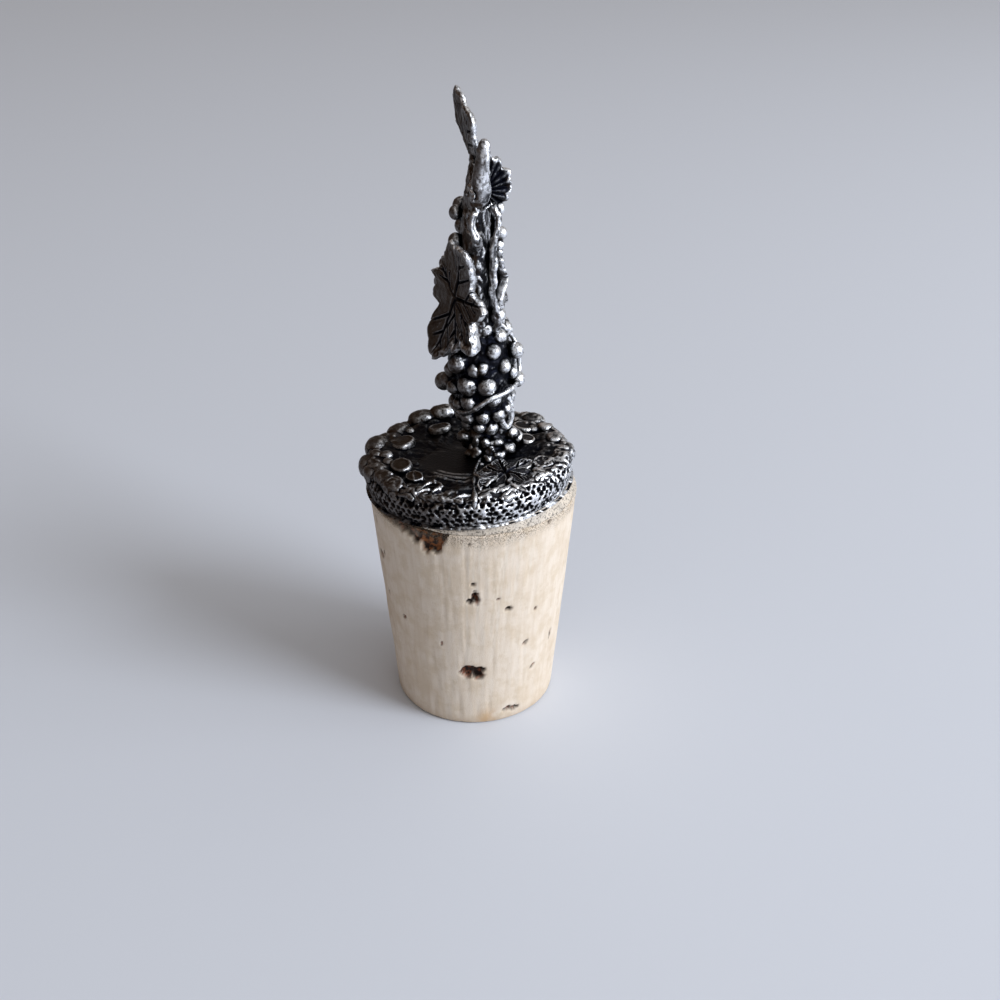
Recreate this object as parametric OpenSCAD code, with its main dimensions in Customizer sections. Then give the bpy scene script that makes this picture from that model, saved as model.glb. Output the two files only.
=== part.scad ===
// Bottle stopper: a tapered natural cork with a cast pewter top, a vine leaf and grape ornament.
// Origin at the centre of the cork's small end, Z up, X across the ornament's faces, millimetres.

/* [Cork] */
// Length of the cork
cork_len = 27.5; // [22:0.5:36]
// Diameter of the cork's wide end, under the cap
cork_top_d = 24; // [23.6:0.2:28]
// Diameter of the cork's small end
cork_base_d = 19; // [17:0.5:21]
// Radius of the cork's worn edges
cork_edge_r = 0.4; // [0.2:0.1:0.8]
// Depth of the deepest pits in the cork's side
pit_depth = 0.9; // [0.4:0.1:1.5]

/* [Peg and bore] */
// Diameter of the peg's shank
peg_d = 5; // [4:0.2:6]
// How far the peg reaches below the cap
peg_len = 12; // [8:0.5:15]
// How far the peg's barbs stand out from its shank
barb_h = 0.4; // [0.2:0.1:0.6]
// Number of barbs on the peg
barb_count = 4; // [2:1:5]
// Gap between the barbs and the bore, all round
bore_clearance = 0.15; // [0.1:0.05:0.4]
// Spare depth of the bore past the peg's end
bore_spare = 1; // [0.5:0.5:3]

/* [Cap] */
// Width of the cork's ledge left bare round the cap's foot
cap_inset = 0.5; // [0.4:0.1:1.5]
// How far the cap's wall leans out from foot to rim
cap_flare = 0.4; // [0:0.1:1]
// Height of the cap's wall
cap_h = 3.6; // [3:0.2:5]
// Depth of the dish in the cap's top
dish_depth = 0.7; // [0.3:0.1:1.2]
// Size of the lumps on the cap's rim, as a factor on their usual widths
lump_size = 1; // [0.8:0.05:1.2]
// Width of the mould's parting ridge
ridge_w = 0.5; // [0.3:0.1:0.8]
// Lean of the whole casting on its cork, in degrees
cap_lean = 3; // [0:0.5:4]
// How far the casting sits off the cork's middle
cap_shift = 0.4; // [0:0.1:0.4]
// Thickness of the adhesive at its thin side
glue_min = 0.05; // [0.05:0.05:0.5]

/* [Ornament] */
// How far the ornament's foot stands to the side of the cap's middle
foot_x = 2; // [0:0.5:3]
// How far the ornament's foot stands behind the cap's middle
foot_y = 2; // [0:0.5:3]
// Width of the bunch of grapes across the faces
bunch_w = 7.2; // [6:0.2:8.4]
// Width of the bunch of grapes along the faces
bunch_l = 8.8; // [7:0.2:10]
// Height of the bunch of grapes
bunch_h = 17.5; // [15:0.5:20]
// Size of the grapes, as a factor on their usual diameters
grape_size = 1; // [0.8:0.05:1.2]
// Diameter of the tendril that crosses the bunch
tendril_d = 0.5; // [0.4:0.05:0.8]
// Thickness of the leaves
leaf_t = 0.7; // [0.5:0.05:1]
// Height of the veins on the leaves
vein_h = 0.25; // [0:0.05:0.4]
// Height of the stem from the bunch to the top leaf
stem_h = 18; // [14:0.5:20]
// Diameter of the stem where it leaves the bunch
stem_d = 5; // [4:0.2:6]
// Length of the top leaf's longest lobe
top_leaf_r = 7.2; // [6:0.2:8.4]
// Length of the big side leaf's longest lobe
side_leaf_r = 8.2; // [7:0.2:9]
// Length of the far leaf's longest lobe
far_leaf_r = 5.6; // [4.5:0.2:6.5]
// Length of the right leaf's longest lobe
right_leaf_r = 6.4; // [5:0.2:7]
// Length of the small fan leaf's ribs
fan_leaf_r = 3.2; // [2.4:0.2:4]
// Length of the longest lobe of the leaf on the cap
cap_leaf_r = 4.6; // [3.6:0.2:5.2]

/* [Hidden] */
fine = 96;
arc_steps = 4;
ball_faces = 7;
rod_faces = 7;
vine_faces = 14;
bunch_faces = 12;
cap_faces = 48;
peg_faces = 16;
pit_faces = 16;
leaf_steps = 40;
leaf_rings = [0.5, 1];

bore_d = peg_d + 2 * (barb_h + bore_clearance);
bore_depth = peg_len + bore_spare;
// Diameter of the cap's flat underside
cap_foot_d = cork_top_d - 2 * cap_inset;
// The tables of lumps are written for a cap 23 wide, and those of the vine for a bunch 7.2 wide
cap_unit = cap_foot_d / 23;
vine_unit = bunch_w / 7.2;
// Height of the casting's origin above the cork, so that its low edge clears the cork by glue_min
cap_lift = glue_min + (cap_foot_d / 2) * sin(cap_lean);
cap_rim_r = cap_foot_d / 2 + cap_flare;
dish_z = cap_h - dish_depth;
bunch_base_z = dish_z;
bunch_top_z = bunch_base_z + bunch_h;

// ---- helpers -------------------------------------------------------------------------------------------

// Places children in the casting's own frame: underside centre at the origin, leaning to the left
module casting_frame() {
    translate([-cap_shift, 0, cork_len + cap_lift]) rotate([0, -cap_lean, 0]) children();
}

// Places children on the ornament's axis, with Z from the cap's underside
module ornament_frame() {
    translate([foot_x, foot_y, 0]) children();
}

// A ball turned at an odd angle, so that its facets line up with no neighbour's
module ball(at, d) {
    translate(at) rotate([23, 41, 37 * (at[0] + at[2])]) rotate_extrude($fn = ball_faces) {
        polygon([for (a = [-90:45:90]) 0.52 * d * [cos(a), sin(a)]]);
    }
}

function unit(v) = v / norm(v);

function place(knot) = [knot[0], knot[1], knot[2]];

// Direction of a rod at knot i, averaged over its two neighbours
function heading(knots, i) =
    unit(place(knots[min(i + 1, len(knots) - 1)]) - place(knots[max(i - 1, 0)]));

// A sideways direction at each knot, carried along the rod without twist
function sides(knots) = [
    for (i = 0, s = unit(cross(heading(knots, 0), [0.31, 0.52, 0.17]));
        i < len(knots);
        i = i + 1, s = i < len(knots) ? unit(s - (s * heading(knots, i)) * heading(knots, i)) : s) s];

// Triangles of the wall that joins rings of points, each ring with the same number of points
function wall_faces(rings, count) = [for (i = [0:rings - 2], j = [0:count - 1])
    let (a = i * count + j, b = i * count + (j + 1) % count)
    each [[a, a + count, b + count], [a, b + count, b]]];

// A rod of round section through the given [x, y, z, diameter] knots, with blunt ends
module rod(knots, faces = rod_faces) {
    last = len(knots) - 1;
    across = sides(knots);
    rings = [for (i = [0:last]) let (t = cross(heading(knots, i), across[i]))
        for (j = [0:faces - 1]) let (a = 360 * j / faces)
            place(knots[i]) + knots[i][3] / 2 * (cos(a) * across[i] + sin(a) * t)];
    ends = [place(knots[0]) - 0.4 * knots[0][3] * heading(knots, 0),
        place(knots[last]) + 0.4 * knots[last][3] * heading(knots, last)];
    count = len(rings);
    tips = [for (j = [0:faces - 1]) let (n = (j + 1) % faces)
        each [[count, j, n], [count + 1, last * faces + n, last * faces + j]]];
    polyhedron(points = concat(rings, ends), faces = concat(wall_faces(len(knots), faces), tips));
}

// Smallest angle between two directions
function apart(a, b) = abs((a - b) - 360 * round((a - b) / 360));

// Reach of a palmate leaf in direction a, where each lobe is [direction, share of the longest reach]
function lobe_reach(a, lobes, waist, lobe_w) =
    max(waist, max([for (l = lobes) l[1] * (1 - pow(apart(a, l[0]) / lobe_w, 1.4))]));

// 1 along a lobe's midrib and 0 beside it
function on_vein(a, lobes) = max([for (l = lobes) apart(a, l[0]) < 5 ? 1 : 0]);

// Height of the leaf's cupped back at a distance from its stalk point
function leaf_cup(distance, cup) = cup * pow(distance, 2);

// A lobed leaf round its stalk point: it spreads in X and Z, and its face looks along -Y
module leaf(reach, lobes, waist = 0.5, cup = 0, lobe_w = 62) {
    steps = [for (j = [0:leaf_steps - 1]) j * 360 / leaf_steps];
    r = [for (a = steps) reach * lobe_reach(a, lobes, waist, lobe_w)];
    face = [for (s = leaf_rings, j = [0:leaf_steps - 1])
        let (vein = s < 1 ? vein_h * on_vein(steps[j], lobes) : 0)
        [s * r[j] * sin(steps[j]), -vein - leaf_cup(s * r[j], cup), s * r[j] * cos(steps[j])]];
    back = [for (j = [0:leaf_steps - 1])
        [r[j] * sin(steps[j]), leaf_t - leaf_cup(r[j], cup), r[j] * cos(steps[j])]];
    // The face's rings come first, then the back's edge, then the two middle points
    back_start = len(face);
    face_mid = back_start + leaf_steps;
    back_mid = face_mid + 1;
    next = [for (j = [0:leaf_steps - 1]) (j + 1) % leaf_steps];
    mid_faces = [for (j = [0:leaf_steps - 1]) each [
        [face_mid, j, next[j]],
        [back_mid, back_start + next[j], back_start + j]]];
    polyhedron(
        points = concat(face, back, [[0, -vein_h, 0], [0, leaf_t, 0]]),
        faces = concat(mid_faces, wall_faces(len(leaf_rings) + 1, leaf_steps)));
}

// ---- cork ----------------------------------------------------------------------------------------------

// Half section of the cork with rounded ends
function cork_section() = concat(
    [[0, 0]],
    [for (i = [0:arc_steps]) let (a = 90 * i / arc_steps)
        [cork_base_d / 2 - cork_edge_r * (1 - sin(a)), cork_edge_r * (1 - cos(a))]],
    [for (i = [0:arc_steps]) let (a = 90 * i / arc_steps)
        [cork_top_d / 2 - cork_edge_r * (1 - cos(a)), cork_len - cork_edge_r * (1 - sin(a))]],
    [[0, cork_len]]);

function cork_radius(z) = (cork_base_d + (cork_top_d - cork_base_d) * z / cork_len) / 2;

// Pits in the cork's side: [direction, share of the height, width, depth as a share of pit_depth]
PITS = [
    [2, 0.68, 1.2, 1], [1, 0.76, 0.6, 0.6], [-3, 0.3, 2, 1], [2, 0.305, 1.8, 1], [6, 0.29, 1.9, 1],
    [22, 0.615, 0.9, 0.6], [41, 0.565, 0.6, 0.6], [35, 0.405, 0.8, 0.7], [43, 0.255, 0.8, 0.7],
    [24, 0.06, 0.9, 0.7], [30, 0.055, 1, 0.7], [75, 0.67, 0.7, 0.5], [60, 0.36, 0.6, 0.5],
    [95, 0.3, 1.4, 0.9], [118, 0.72, 0.9, 0.7], [140, 0.15, 1.1, 0.8], [165, 0.5, 1.6, 1],
    [190, 0.82, 0.8, 0.6], [212, 0.33, 1.3, 0.9], [240, 0.6, 1, 0.7], [268, 0.2, 0.9, 0.7],
    [292, 0.75, 1.2, 0.8], [-48, 0.5, 0.7, 0.5]];

// Bites that make the torn chip under the cap: [direction, depth below the wide end, width]
CHIP = [[-37, 0.5, 2.2], [-31, 1, 2.8], [-25, 1.2, 3], [-19, 0.9, 2.6], [-15, 0.6, 1.8]];

module pit(direction, z, width, depth) {
    // A ball that meets the cork's side in a hole of the given width and depth
    ball_r = (width * width / 4 + depth * depth) / (2 * depth);
    rotate([0, 0, direction]) translate([0, -(cork_radius(z) + ball_r - depth), z]) {
        sphere(r = ball_r, $fn = pit_faces);
    }
}

module bore() {
    casting_frame() translate([0, 0, -bore_depth]) {
        cylinder(d = bore_d, h = bore_depth + 2 * cap_h, $fn = fine);
    }
}

module cork() {
    color("burlywood") difference() {
        rotate_extrude($fn = fine) polygon(cork_section());
        bore();
        for (p = PITS) {
            pit(p[0], p[1] * cork_len, p[2], p[3] * pit_depth);
        }
        for (c = CHIP) {
            pit(c[0], cork_len - c[1], c[2], pit_depth);
        }
    }
}

// ---- adhesive ------------------------------------------------------------------------------------------

module glue_bead() {
    color("darkseagreen") difference() {
        casting_frame() translate([0, 0, -2 * cap_h]) cylinder(d = cap_foot_d, h = 2 * cap_h, $fn = fine);
        // Everything below the cork's wide end
        translate([-cork_top_d, -cork_top_d, cork_len - 4 * cap_h]) {
            cube([2 * cork_top_d, 2 * cork_top_d, 4 * cap_h]);
        }
        bore();
    }
}

// ---- casting -------------------------------------------------------------------------------------------

// The ribbed peg that is pressed and glued into the bore
module peg() {
    plain_len = 1;
    barb_pitch = (peg_len - 2 * plain_len) / barb_count;
    barb_run = 0.8 * barb_pitch;
    barb_lip = 0.1;
    tip_chamfer = 0.6;
    root_r = peg_d / 2;
    rotate([0, 180, 0]) rotate_extrude($fn = peg_faces) polygon(concat(
        [[0, -plain_len], [root_r, -plain_len]],
        [for (i = [0:barb_count - 1]) let (start = plain_len + i * barb_pitch) each [
            [root_r, start], [root_r + barb_h, start + barb_lip], [root_r, start + barb_run]]],
        [[root_r - tip_chamfer, peg_len], [0, peg_len]]));
}

// The cap: a low drum that leans out, with a shallow dish in its top
module cap_body() {
    foot_r = cap_foot_d / 2;
    rim_round = 1.2 * cap_unit;
    rim_w = 3.2 * cap_unit;
    dish_r = 0.35 * cap_rim_r;
    rotate([0, 0, 1.7]) rotate_extrude($fn = cap_faces) polygon([
        [0, 0], [foot_r, 0],
        [foot_r + 0.6 * cap_flare, 0.25 * cap_h],
        [cap_rim_r, 0.6 * cap_h],
        [cap_rim_r - 0.25 * rim_round, 0.9 * cap_h],
        [cap_rim_r - rim_round, cap_h],
        [cap_rim_r - rim_w, cap_h - 0.4 * dish_depth],
        [dish_r, dish_z],
        [0, dish_z]]);
}

// Lumps on the cap's rim: [direction, distance in from the rim, drop below the rim, width]
LUMPS = [
    [165, 0.9, 0.5, 3], [-178, 0.6, 1.2, 2.9], [143, 1.4, 0.5, 2.6], [134, 0.7, 0.8, 2], [122, 1.1, 0.3, 3],
    [108, 1.4, 0, 2.8], [92, 1.2, 0.4, 3.2], [76, 1.2, 0.6, 3], [60, 1.6, 1, 2.8], [46, 1, 0.8, 3],
    [30, 1.3, 1, 2.4], [13, 1.7, 0.4, 2.2], [2, 0.8, 1, 2.6], [-12, 1.2, 0.8, 2.8], [-38, 1.7, 0.9, 2.2],
    [-52, 1.8, 0.8, 2.2], [-65, 0.9, 0.4, 1.9], [-80, 1.4, 0.9, 2], [-96, 1.2, 0.8, 2.2],
    [-111, 1.8, 0.6, 2.7], [-124, 1.2, 0.9, 2], [-137, 1.2, 0.5, 2.6], [-151, 1.4, 0.6, 2.5],
    [-164, 0.8, 0.9, 2.4]];

// Flat discs inside the rim: [direction, distance from the cap's middle, width]
DISCS = [
    [158, 8.2, 3.1], [-160, 7.9, 2.8], [-23, 9.2, 2.6], [42, 8.6, 2.6], [84, 7.6, 2.6], [118, 7.4, 2.6],
    [-136, 8, 2.2], [20, 7.2, 2.2]];

module rim_lumps() {
    for (l = LUMPS) {
        rotate([0, 0, l[0]]) translate([cap_rim_r - l[1] * cap_unit, 0, cap_h - l[2] * cap_unit]) {
            scale([0.85, 1.1, 0.75] * lump_size * cap_unit) ball([0, 0, 0], l[3]);
        }
    }
    for (d = DISCS) {
        rotate([0, 0, d[0]]) translate([d[1] * cap_unit, 0, cap_h - 0.35 * dish_depth]) {
            scale([0.8, 1.1, 0.4] * lump_size * cap_unit) ball([0, 0, 0], d[2]);
        }
    }
}

// The raised line that the mould's halves leave across the cap
module parting_ridge() {
    // Over the dish, out along the near side of the cap and down its wall
    rod([[0.5 * foot_x, 0, cap_h - 0.2, ridge_w], [0.07 * cap_rim_r, -0.55 * cap_rim_r, cap_h, ridge_w],
        [0.08 * cap_rim_r, -0.92 * cap_rim_r, cap_h + 0.1, ridge_w],
        [0.06 * cap_rim_r, -0.99 * cap_rim_r, 0.6 * cap_h, ridge_w]]);
}

// Half width of the bunch at a share of its height, as a share of its widest: fullest above the middle
function bunch_fullness(share) = pow(sin(180 * pow(share, 1.3)), 0.6);

// A point on the bunch's own egg shape, at a direction round it and a share of its height
function on_bunch(direction, share, out = 1) =
    let (f = bunch_fullness(share) * out)
    [bunch_w / 2 * f * sin(direction), -bunch_l / 2 * f * cos(direction), bunch_base_z + share * bunch_h];

// Grapes on the near side: [direction, share of the height, diameter]
GRAPES = [
    [22, 0.88, 1.5], [88, 0.82, 2], [30, 0.75, 1.7], [93, 0.69, 1.5], [47, 0.64, 1.6], [5, 0.66, 1.3],
    [-9, 0.65, 1.5], [-40, 0.68, 2.3], [-84, 0.5, 2.1], [-23, 0.55, 2.3], [-57, 0.5, 1.8], [11, 0.54, 2.1],
    [90, 0.49, 1.3], [-80, 0.36, 1.8], [-24, 0.42, 2], [-76, 0.27, 1.6], [-55, 0.21, 1.6], [-70, 0.13, 1.7],
    [-28, 0.15, 1.8], [70, 0.15, 2.2], [23, 0.2, 1.8], [32, 0.06, 2], [65, 0.04, 1.8], [-45, 0.05, 1.9],
    [60, 0.32, 1.6], [0, 0.31, 1.6], [70, 0.56, 1.6], [-62, 0.8, 1.8], [-15, 0.8, 1.8], [55, 0.82, 1.7],
    [24, 0.44, 1.7], [-38, 0.3, 1.8], [2, 0.1, 1.6], [38, 0.3, 1.6], [-12, 0.22, 1.5], [0, 0.03, 1.8],
    [-75, 0.04, 1.8], [90, 0.07, 1.8], [-52, 0.38, 1.7], [-60, 0.62, 1.7]];

module bunch() {
    shares = [0.03, 0.15, 0.35, 0.6, 0.82, 0.95];
    translate([0, 0, bunch_base_z]) scale([bunch_w / 2, bunch_l / 2, bunch_h]) rotate([0, 0, 4]) {
        rotate_extrude($fn = bunch_faces) {
            polygon(concat([[0, 0]], [for (s = shares) [bunch_fullness(s), s]], [[0, 1]]));
        }
    }
    // The foot that carries the bunch on the cap
    translate([0, 0, bunch_base_z - 0.6]) scale([1, bunch_l / bunch_w, 1]) {
        cylinder(d1 = 0.62 * bunch_w, d2 = 0.45 * bunch_w, h = 0.16 * bunch_h, $fn = bunch_faces);
    }
    for (g = GRAPES) {
        ball(on_bunch(g[0], g[1]), g[2] * vine_unit * grape_size);
    }
    // Rows of grapes over the far side
    for (row = [0:6], k = [0:3]) {
        direction = 114 + 36 * k + (row % 2) * 18;
        width = 2.1 + 0.25 * sin(90 * k + 60 * row);
        ball(on_bunch(direction, 0.08 + 0.125 * row), width * vine_unit * grape_size);
    }
}

// The tendril that crosses the near side of the bunch and ends in a loop
module tendril() {
    route = [[24, 0.95], [70, 0.87], [88, 0.77], [91, 0.66], [90, 0.56], [74, 0.49], [42, 0.485], [12, 0.465],
        [-10, 0.4], [-34, 0.35], [-58, 0.345], [-80, 0.35]];
    rod([for (p = route) concat(on_bunch(p[0], p[1], 1.06), tendril_d)], 6);
    loop_at = on_bunch(70, 0.28, 1.05);
    // The loop's two ends run into the bunch, 40 degrees apart
    loop = [for (a = [-70:40:250]) concat(
        loop_at + [0.6 * sin(a), 0.5 * sin(a), 1.9 * cos(a)] * vine_unit, 1.6 * tendril_d)];
    rod(loop, 6);
}

// Share of the way up the stem, as a height
function stem_z(share) = bunch_top_z + share * stem_h;

// The solid vine above the bunch, as flat ovals: [x, y, share of the stem, thickness, breadth]
VINE = [
    [0.2, 0.2, -0.3, 0.7, 0.6], [0.2, 0.4, -0.12, 0.78, 0.86], [0.2, 0.8, 0.06, 0.76, 1.1],
    [0.25, 1, 0.24, 0.74, 1.22], [0.4, 0.7, 0.42, 0.7, 1.2], [0.55, -0.3, 0.58, 0.62, 1],
    [0.75, -1.6, 0.72, 0.5, 0.76], [0.95, -1.8, 0.87, 0.3, 0.46],
    [0.8, -1.5, 0.96, 0.2, 0.26]];

module vine() {
    faces = vine_faces;
    last = len(VINE) - 1;
    rings = [for (v = VINE, j = [0:faces - 1]) let (a = 360 * (j + 0.4) / faces)
        [v[0] * vine_unit + stem_d / 2 * v[3] * cos(a),
            v[1] * vine_unit + bunch_l / 2 * v[4] * sin(a), stem_z(v[2])]];
    ends = [[for (j = [0:faces - 1]) j], [for (j = [0:faces - 1]) last * faces + faces - 1 - j]];
    polyhedron(points = rings, faces = concat(wall_faces(len(VINE), faces), ends));
}

// A point beside the vine, at a share of the stem
function by_vine(x, y, share) = [x * vine_unit, y * vine_unit, stem_z(share)];

// The stump and the shoots along the edges of the vine, each as [x, y, share of the stem, width] knots
STUMP = [[0.5, -2, 0.68, 2.2], [1, -5.4, 0.7, 2], [1.35, -6.2, 0.78, 2.1], [1.7, -6.6, 0.9, 1.8],
    [2, -6.8, 1.03, 1.3]];
SHOOTS = [
    [[1.5, -4.6, 0.72, 1.2], [3, -6, 0.62, 1], [2.2, -6.4, 0.44, 1.1], [2.3, -6.4, 0.36, 1],
        [2, -6.4, 0.18, 1], [2.4, -5.6, 0.02, 1], [2, -3.4, -0.1, 1.1]],
    [[0.9, -6.2, 0.7, 1.1], [0.2, -6.5, 0.6, 1], [0.7, -6.3, 0.5, 1.1], [0.4, -4, 0.42, 1.6]],
    // Stalk of the big leaf
    [[0.3, 0.5, 0.08, 1.8], [-0.5, -2, 0.11, 1.6], [-1.5, -3.8, 0.13, 1.4]],
    [[0.4, 2.4, 0.76, 1.2], [0.4, 4.9, 0.56, 1.2], [0.3, 6.6, 0.3, 1.2], [0.2, 5.8, 0.04, 1.2],
        [0.2, 3.2, -0.14, 1.4]]];

module stem() {
    for (knots = concat([STUMP], SHOOTS)) {
        rod([for (k = knots) concat(by_vine(k[0], k[1], k[2]), k[3] * vine_unit)]);
    }
}

// Berries on the vine's two faces: [x, y, share of the stem, diameter]
BERRIES = [
    [-1.5, -1, 0.58, 1.5], [-1.7, -1, 0.41, 1.7], [-3, 0, 0.26, 1.5], [-3.7, 0, 0.15, 1.5],
    [-3.3, 0, 0.02, 1.5], [-2.6, 0.2, -0.06, 1.7], [-2.4, 0.3, 0.21, 2.4], [-2.2, 0.4, 0.05, 2.6],
    [3.1, -3.6, 0.49, 1.4], [2.8, -3.6, 0.42, 1.3], [3, -4.6, 0.65, 1.4], [-1.5, 1.4, -0.06, 2.2],
    [-1.5, 3.4, -0.02, 2.1], [-0.9, 5.2, 0.08, 1.9], [-1, 1.6, 0.58, 1.9], [-1.2, 3.2, 0.53, 1.8],
    [2, 3.6, 0.5, 2], [2.1, 5, 0.34, 1.9], [1.7, 6, 0.16, 1.8], [1.9, 4.2, -0.04, 2.1],
    [2, 2, -0.1, 2.2], [1.9, -0.4, -0.12, 2.2], [1.9, 1.6, 0.6, 1.9], [2, -1, 0.62, 1.8],
    [-1, 2, 0.45, 1.8], [2.2, -2, -0.04, 2], [-1.8, 1.8, 0.08, 2.2], [-2, 2.1, 0.22, 2],
    // Grapes that stand out at the sides of the bunch
    [4, -0.8, -0.3, 1.9], [4, -0.8, -0.49, 1.8], [-4.2, 0, -0.5, 2.1]];

module berries() {
    for (b = BERRIES) {
        ball(by_vine(b[0], b[1], b[2]), b[3] * vine_unit * grape_size);
    }
}

module leaves() {
    // Top leaf, upright behind the stump
    translate(by_vine(0.45, -0.8, 0.9)) rotate([0, -17, 0]) rotate([0, 0, -80]) {
        leaf(top_leaf_r, [[-9, 0.94], [45, 1], [-63, 0.78], [99, 0.6], [-117, 0.6], [180, 0.5]], 0.45, -0.02);
    }
    // Big leaf on the left, turned towards the near side
    translate(by_vine(-2.1, -4.4, 0.13)) rotate([0, 0, -58]) {
        leaf(side_leaf_r, [[36, 0.98], [9, 0.8], [-18, 0.56], [90, 0.74], [135, 0.84], [180, 0.74],
            [-153, 1.04], [-99, 0.56], [-54, 0.5]], 0.45, 0.016, 50);
    }
    // Far leaf on the left
    translate(by_vine(-1.2, 4.2, 0.3)) rotate([0, 0, -98]) {
        leaf(far_leaf_r, [[0, 0.85], [-54, 1], [54, 0.8], [-117, 0.95], [117, 0.7], [180, 0.6]], 0.5, -0.01);
    }
    // Leaf on the right face
    translate(by_vine(3.1, 0.6, 0.2)) rotate([0, 0, 94]) {
        leaf(right_leaf_r, [[0, 0.9], [-54, 0.9], [54, 1], [-117, 0.85], [117, 0.95], [180, 0.6]],
            0.5, -0.012);
    }
    // Small fan leaf at the top right
    translate(by_vine(1.7, -5.9, 0.77)) rotate([0, 0, 38]) {
        leaf(fan_leaf_r, [[9, 1.15], [36, 1.1], [63, 1.05], [90, 1], [117, 0.95], [-45, 0.5]], 0.5, 0.03);
    }
}

// The leaf that lies on the cap, near side, right
module cap_leaf() {
    translate([4.3 * cap_unit, -5.6 * cap_unit, cap_h - 0.1]) rotate([0, 0, 195]) rotate([-92, 0, 0]) {
        leaf(cap_leaf_r, [[0, 1], [-54, 0.9], [54, 0.95], [-117, 0.85], [117, 0.8], [180, 0.7]], 0.5, -0.02);
    }
}

module cast_top() {
    color("dimgray") casting_frame() union() {
        peg();
        cap_body();
        rim_lumps();
        parting_ridge();
        cap_leaf();
        ornament_frame() {
            bunch();
            tendril();
            vine();
            stem();
            berries();
            leaves();
        }
    }
}

cork();
glue_bead();
cast_top();
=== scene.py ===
"""A wine bottle stopper: a tapered natural cork under an antiqued pewter casting of vine leaves and grapes.

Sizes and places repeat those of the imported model: Z up, the centre of the cork's small end at the origin.
Pieces are built in millimetres and brought to metres at the end.
"""
import math
import random

import bmesh
import bpy
import numpy as np
from mathutils import Euler, Matrix, Vector


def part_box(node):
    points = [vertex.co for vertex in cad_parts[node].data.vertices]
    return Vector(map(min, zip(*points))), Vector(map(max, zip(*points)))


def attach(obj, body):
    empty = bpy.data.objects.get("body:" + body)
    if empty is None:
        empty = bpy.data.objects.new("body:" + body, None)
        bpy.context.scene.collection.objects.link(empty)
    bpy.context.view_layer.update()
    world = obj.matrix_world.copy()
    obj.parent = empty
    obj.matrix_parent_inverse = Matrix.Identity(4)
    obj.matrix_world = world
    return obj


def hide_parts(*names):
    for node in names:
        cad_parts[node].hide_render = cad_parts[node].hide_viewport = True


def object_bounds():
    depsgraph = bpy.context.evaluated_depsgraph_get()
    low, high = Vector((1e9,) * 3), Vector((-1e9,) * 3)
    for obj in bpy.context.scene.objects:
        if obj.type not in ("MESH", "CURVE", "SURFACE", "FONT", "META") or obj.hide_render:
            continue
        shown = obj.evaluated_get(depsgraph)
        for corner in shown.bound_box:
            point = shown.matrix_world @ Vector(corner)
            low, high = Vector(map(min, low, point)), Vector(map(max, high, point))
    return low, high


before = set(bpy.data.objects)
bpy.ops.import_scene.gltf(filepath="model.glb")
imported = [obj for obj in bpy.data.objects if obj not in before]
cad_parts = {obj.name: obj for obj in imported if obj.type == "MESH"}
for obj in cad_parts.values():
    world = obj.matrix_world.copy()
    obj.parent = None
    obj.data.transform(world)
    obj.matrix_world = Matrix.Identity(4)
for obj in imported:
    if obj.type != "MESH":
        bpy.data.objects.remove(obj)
cad_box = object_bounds()

MM = 0.001
# How finely pieces are meshed: the finished object stays under a million triangles, and a draft has about half
FINE = 0.82

# ---- sizes, in millimetres --------------------------------------------------------------------------

cork_low, cork_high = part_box("cork")
CORK_LEN = (cork_high.z - cork_low.z) / MM
CORK_TOP_R = (cork_high.x - cork_low.x) / MM / 2
CORK_BASE_R = 9.5
CORK_EDGE_R = 0.4
BORE_R = 3.05
BORE_DEPTH = 13.0

CAP_FOOT_R = 11.5
CAP_RIM_R = 11.9
CAP_H = 3.6
DISH_Z = 2.9
CAP_LEAN = 3.0
CAP_SHIFT = 0.4
GLUE_MIN = 0.05
CAP_LIFT = GLUE_MIN + CAP_FOOT_R * math.sin(math.radians(CAP_LEAN))
PEG_R = 2.5
PEG_LEN = 12.0

FOOT_X, FOOT_Y = 2.0, 2.0
BUNCH_W, BUNCH_L, BUNCH_H = 7.2, 8.8, 17.5
BUNCH_BASE_Z = DISH_Z
STEM_H, STEM_D = 18.0, 5.0
LEAF_T = 0.7
TENDRIL_D = 0.5

# Cells of the mesh that fuses the casting's parts, and the length of a step along a shoot
FUSE_CELL = 0.1
SHOOT_STEP = 0.12
# How far around it a point of the casting looks for metal that keeps it dark
HOLLOW_REACH = 2.4

# ---- helpers ----------------------------------------------------------------------------------------


def linear(colour):
    """An sRGB hex colour as linear red, green, blue and alpha."""
    parts = [int(colour[i:i + 2], 16) / 255 for i in (1, 3, 5)]
    return tuple(c / 12.92 if c <= 0.04045 else ((c + 0.055) / 1.055) ** 2.4 for c in parts) + (1.0,)


def add(tree, kind, settings=None, inputs=None, out=0):
    """Adds a node, sets its properties, gives its inputs values or links, and returns one output."""
    node = tree.nodes.new(kind)
    for name, value in (settings or {}).items():
        setattr(node, name, value)
    for key, value in (inputs or {}).items():
        if isinstance(value, bpy.types.NodeSocket):
            tree.links.new(value, node.inputs[key])
        else:
            node.inputs[key].default_value = value
    return node.outputs[out] if node.outputs else node


def calc(tree, operation, a, b=0.0):
    return add(tree, "ShaderNodeMath", {"operation": operation}, {0: a, 1: b})


def product(tree, first, *others):
    for other in others:
        first = calc(tree, "MULTIPLY", first, other)
    return first


def vector(tree, operation, a, b):
    """Vector maths: SCALE takes a number as b, and DOT_PRODUCT and DISTANCE give a number."""
    second = "Scale" if operation == "SCALE" else 1
    out = 1 if operation in ("DOT_PRODUCT", "DISTANCE") else 0
    return add(tree, "ShaderNodeVectorMath", {"operation": operation}, {0: a, second: b}, out)


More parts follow.
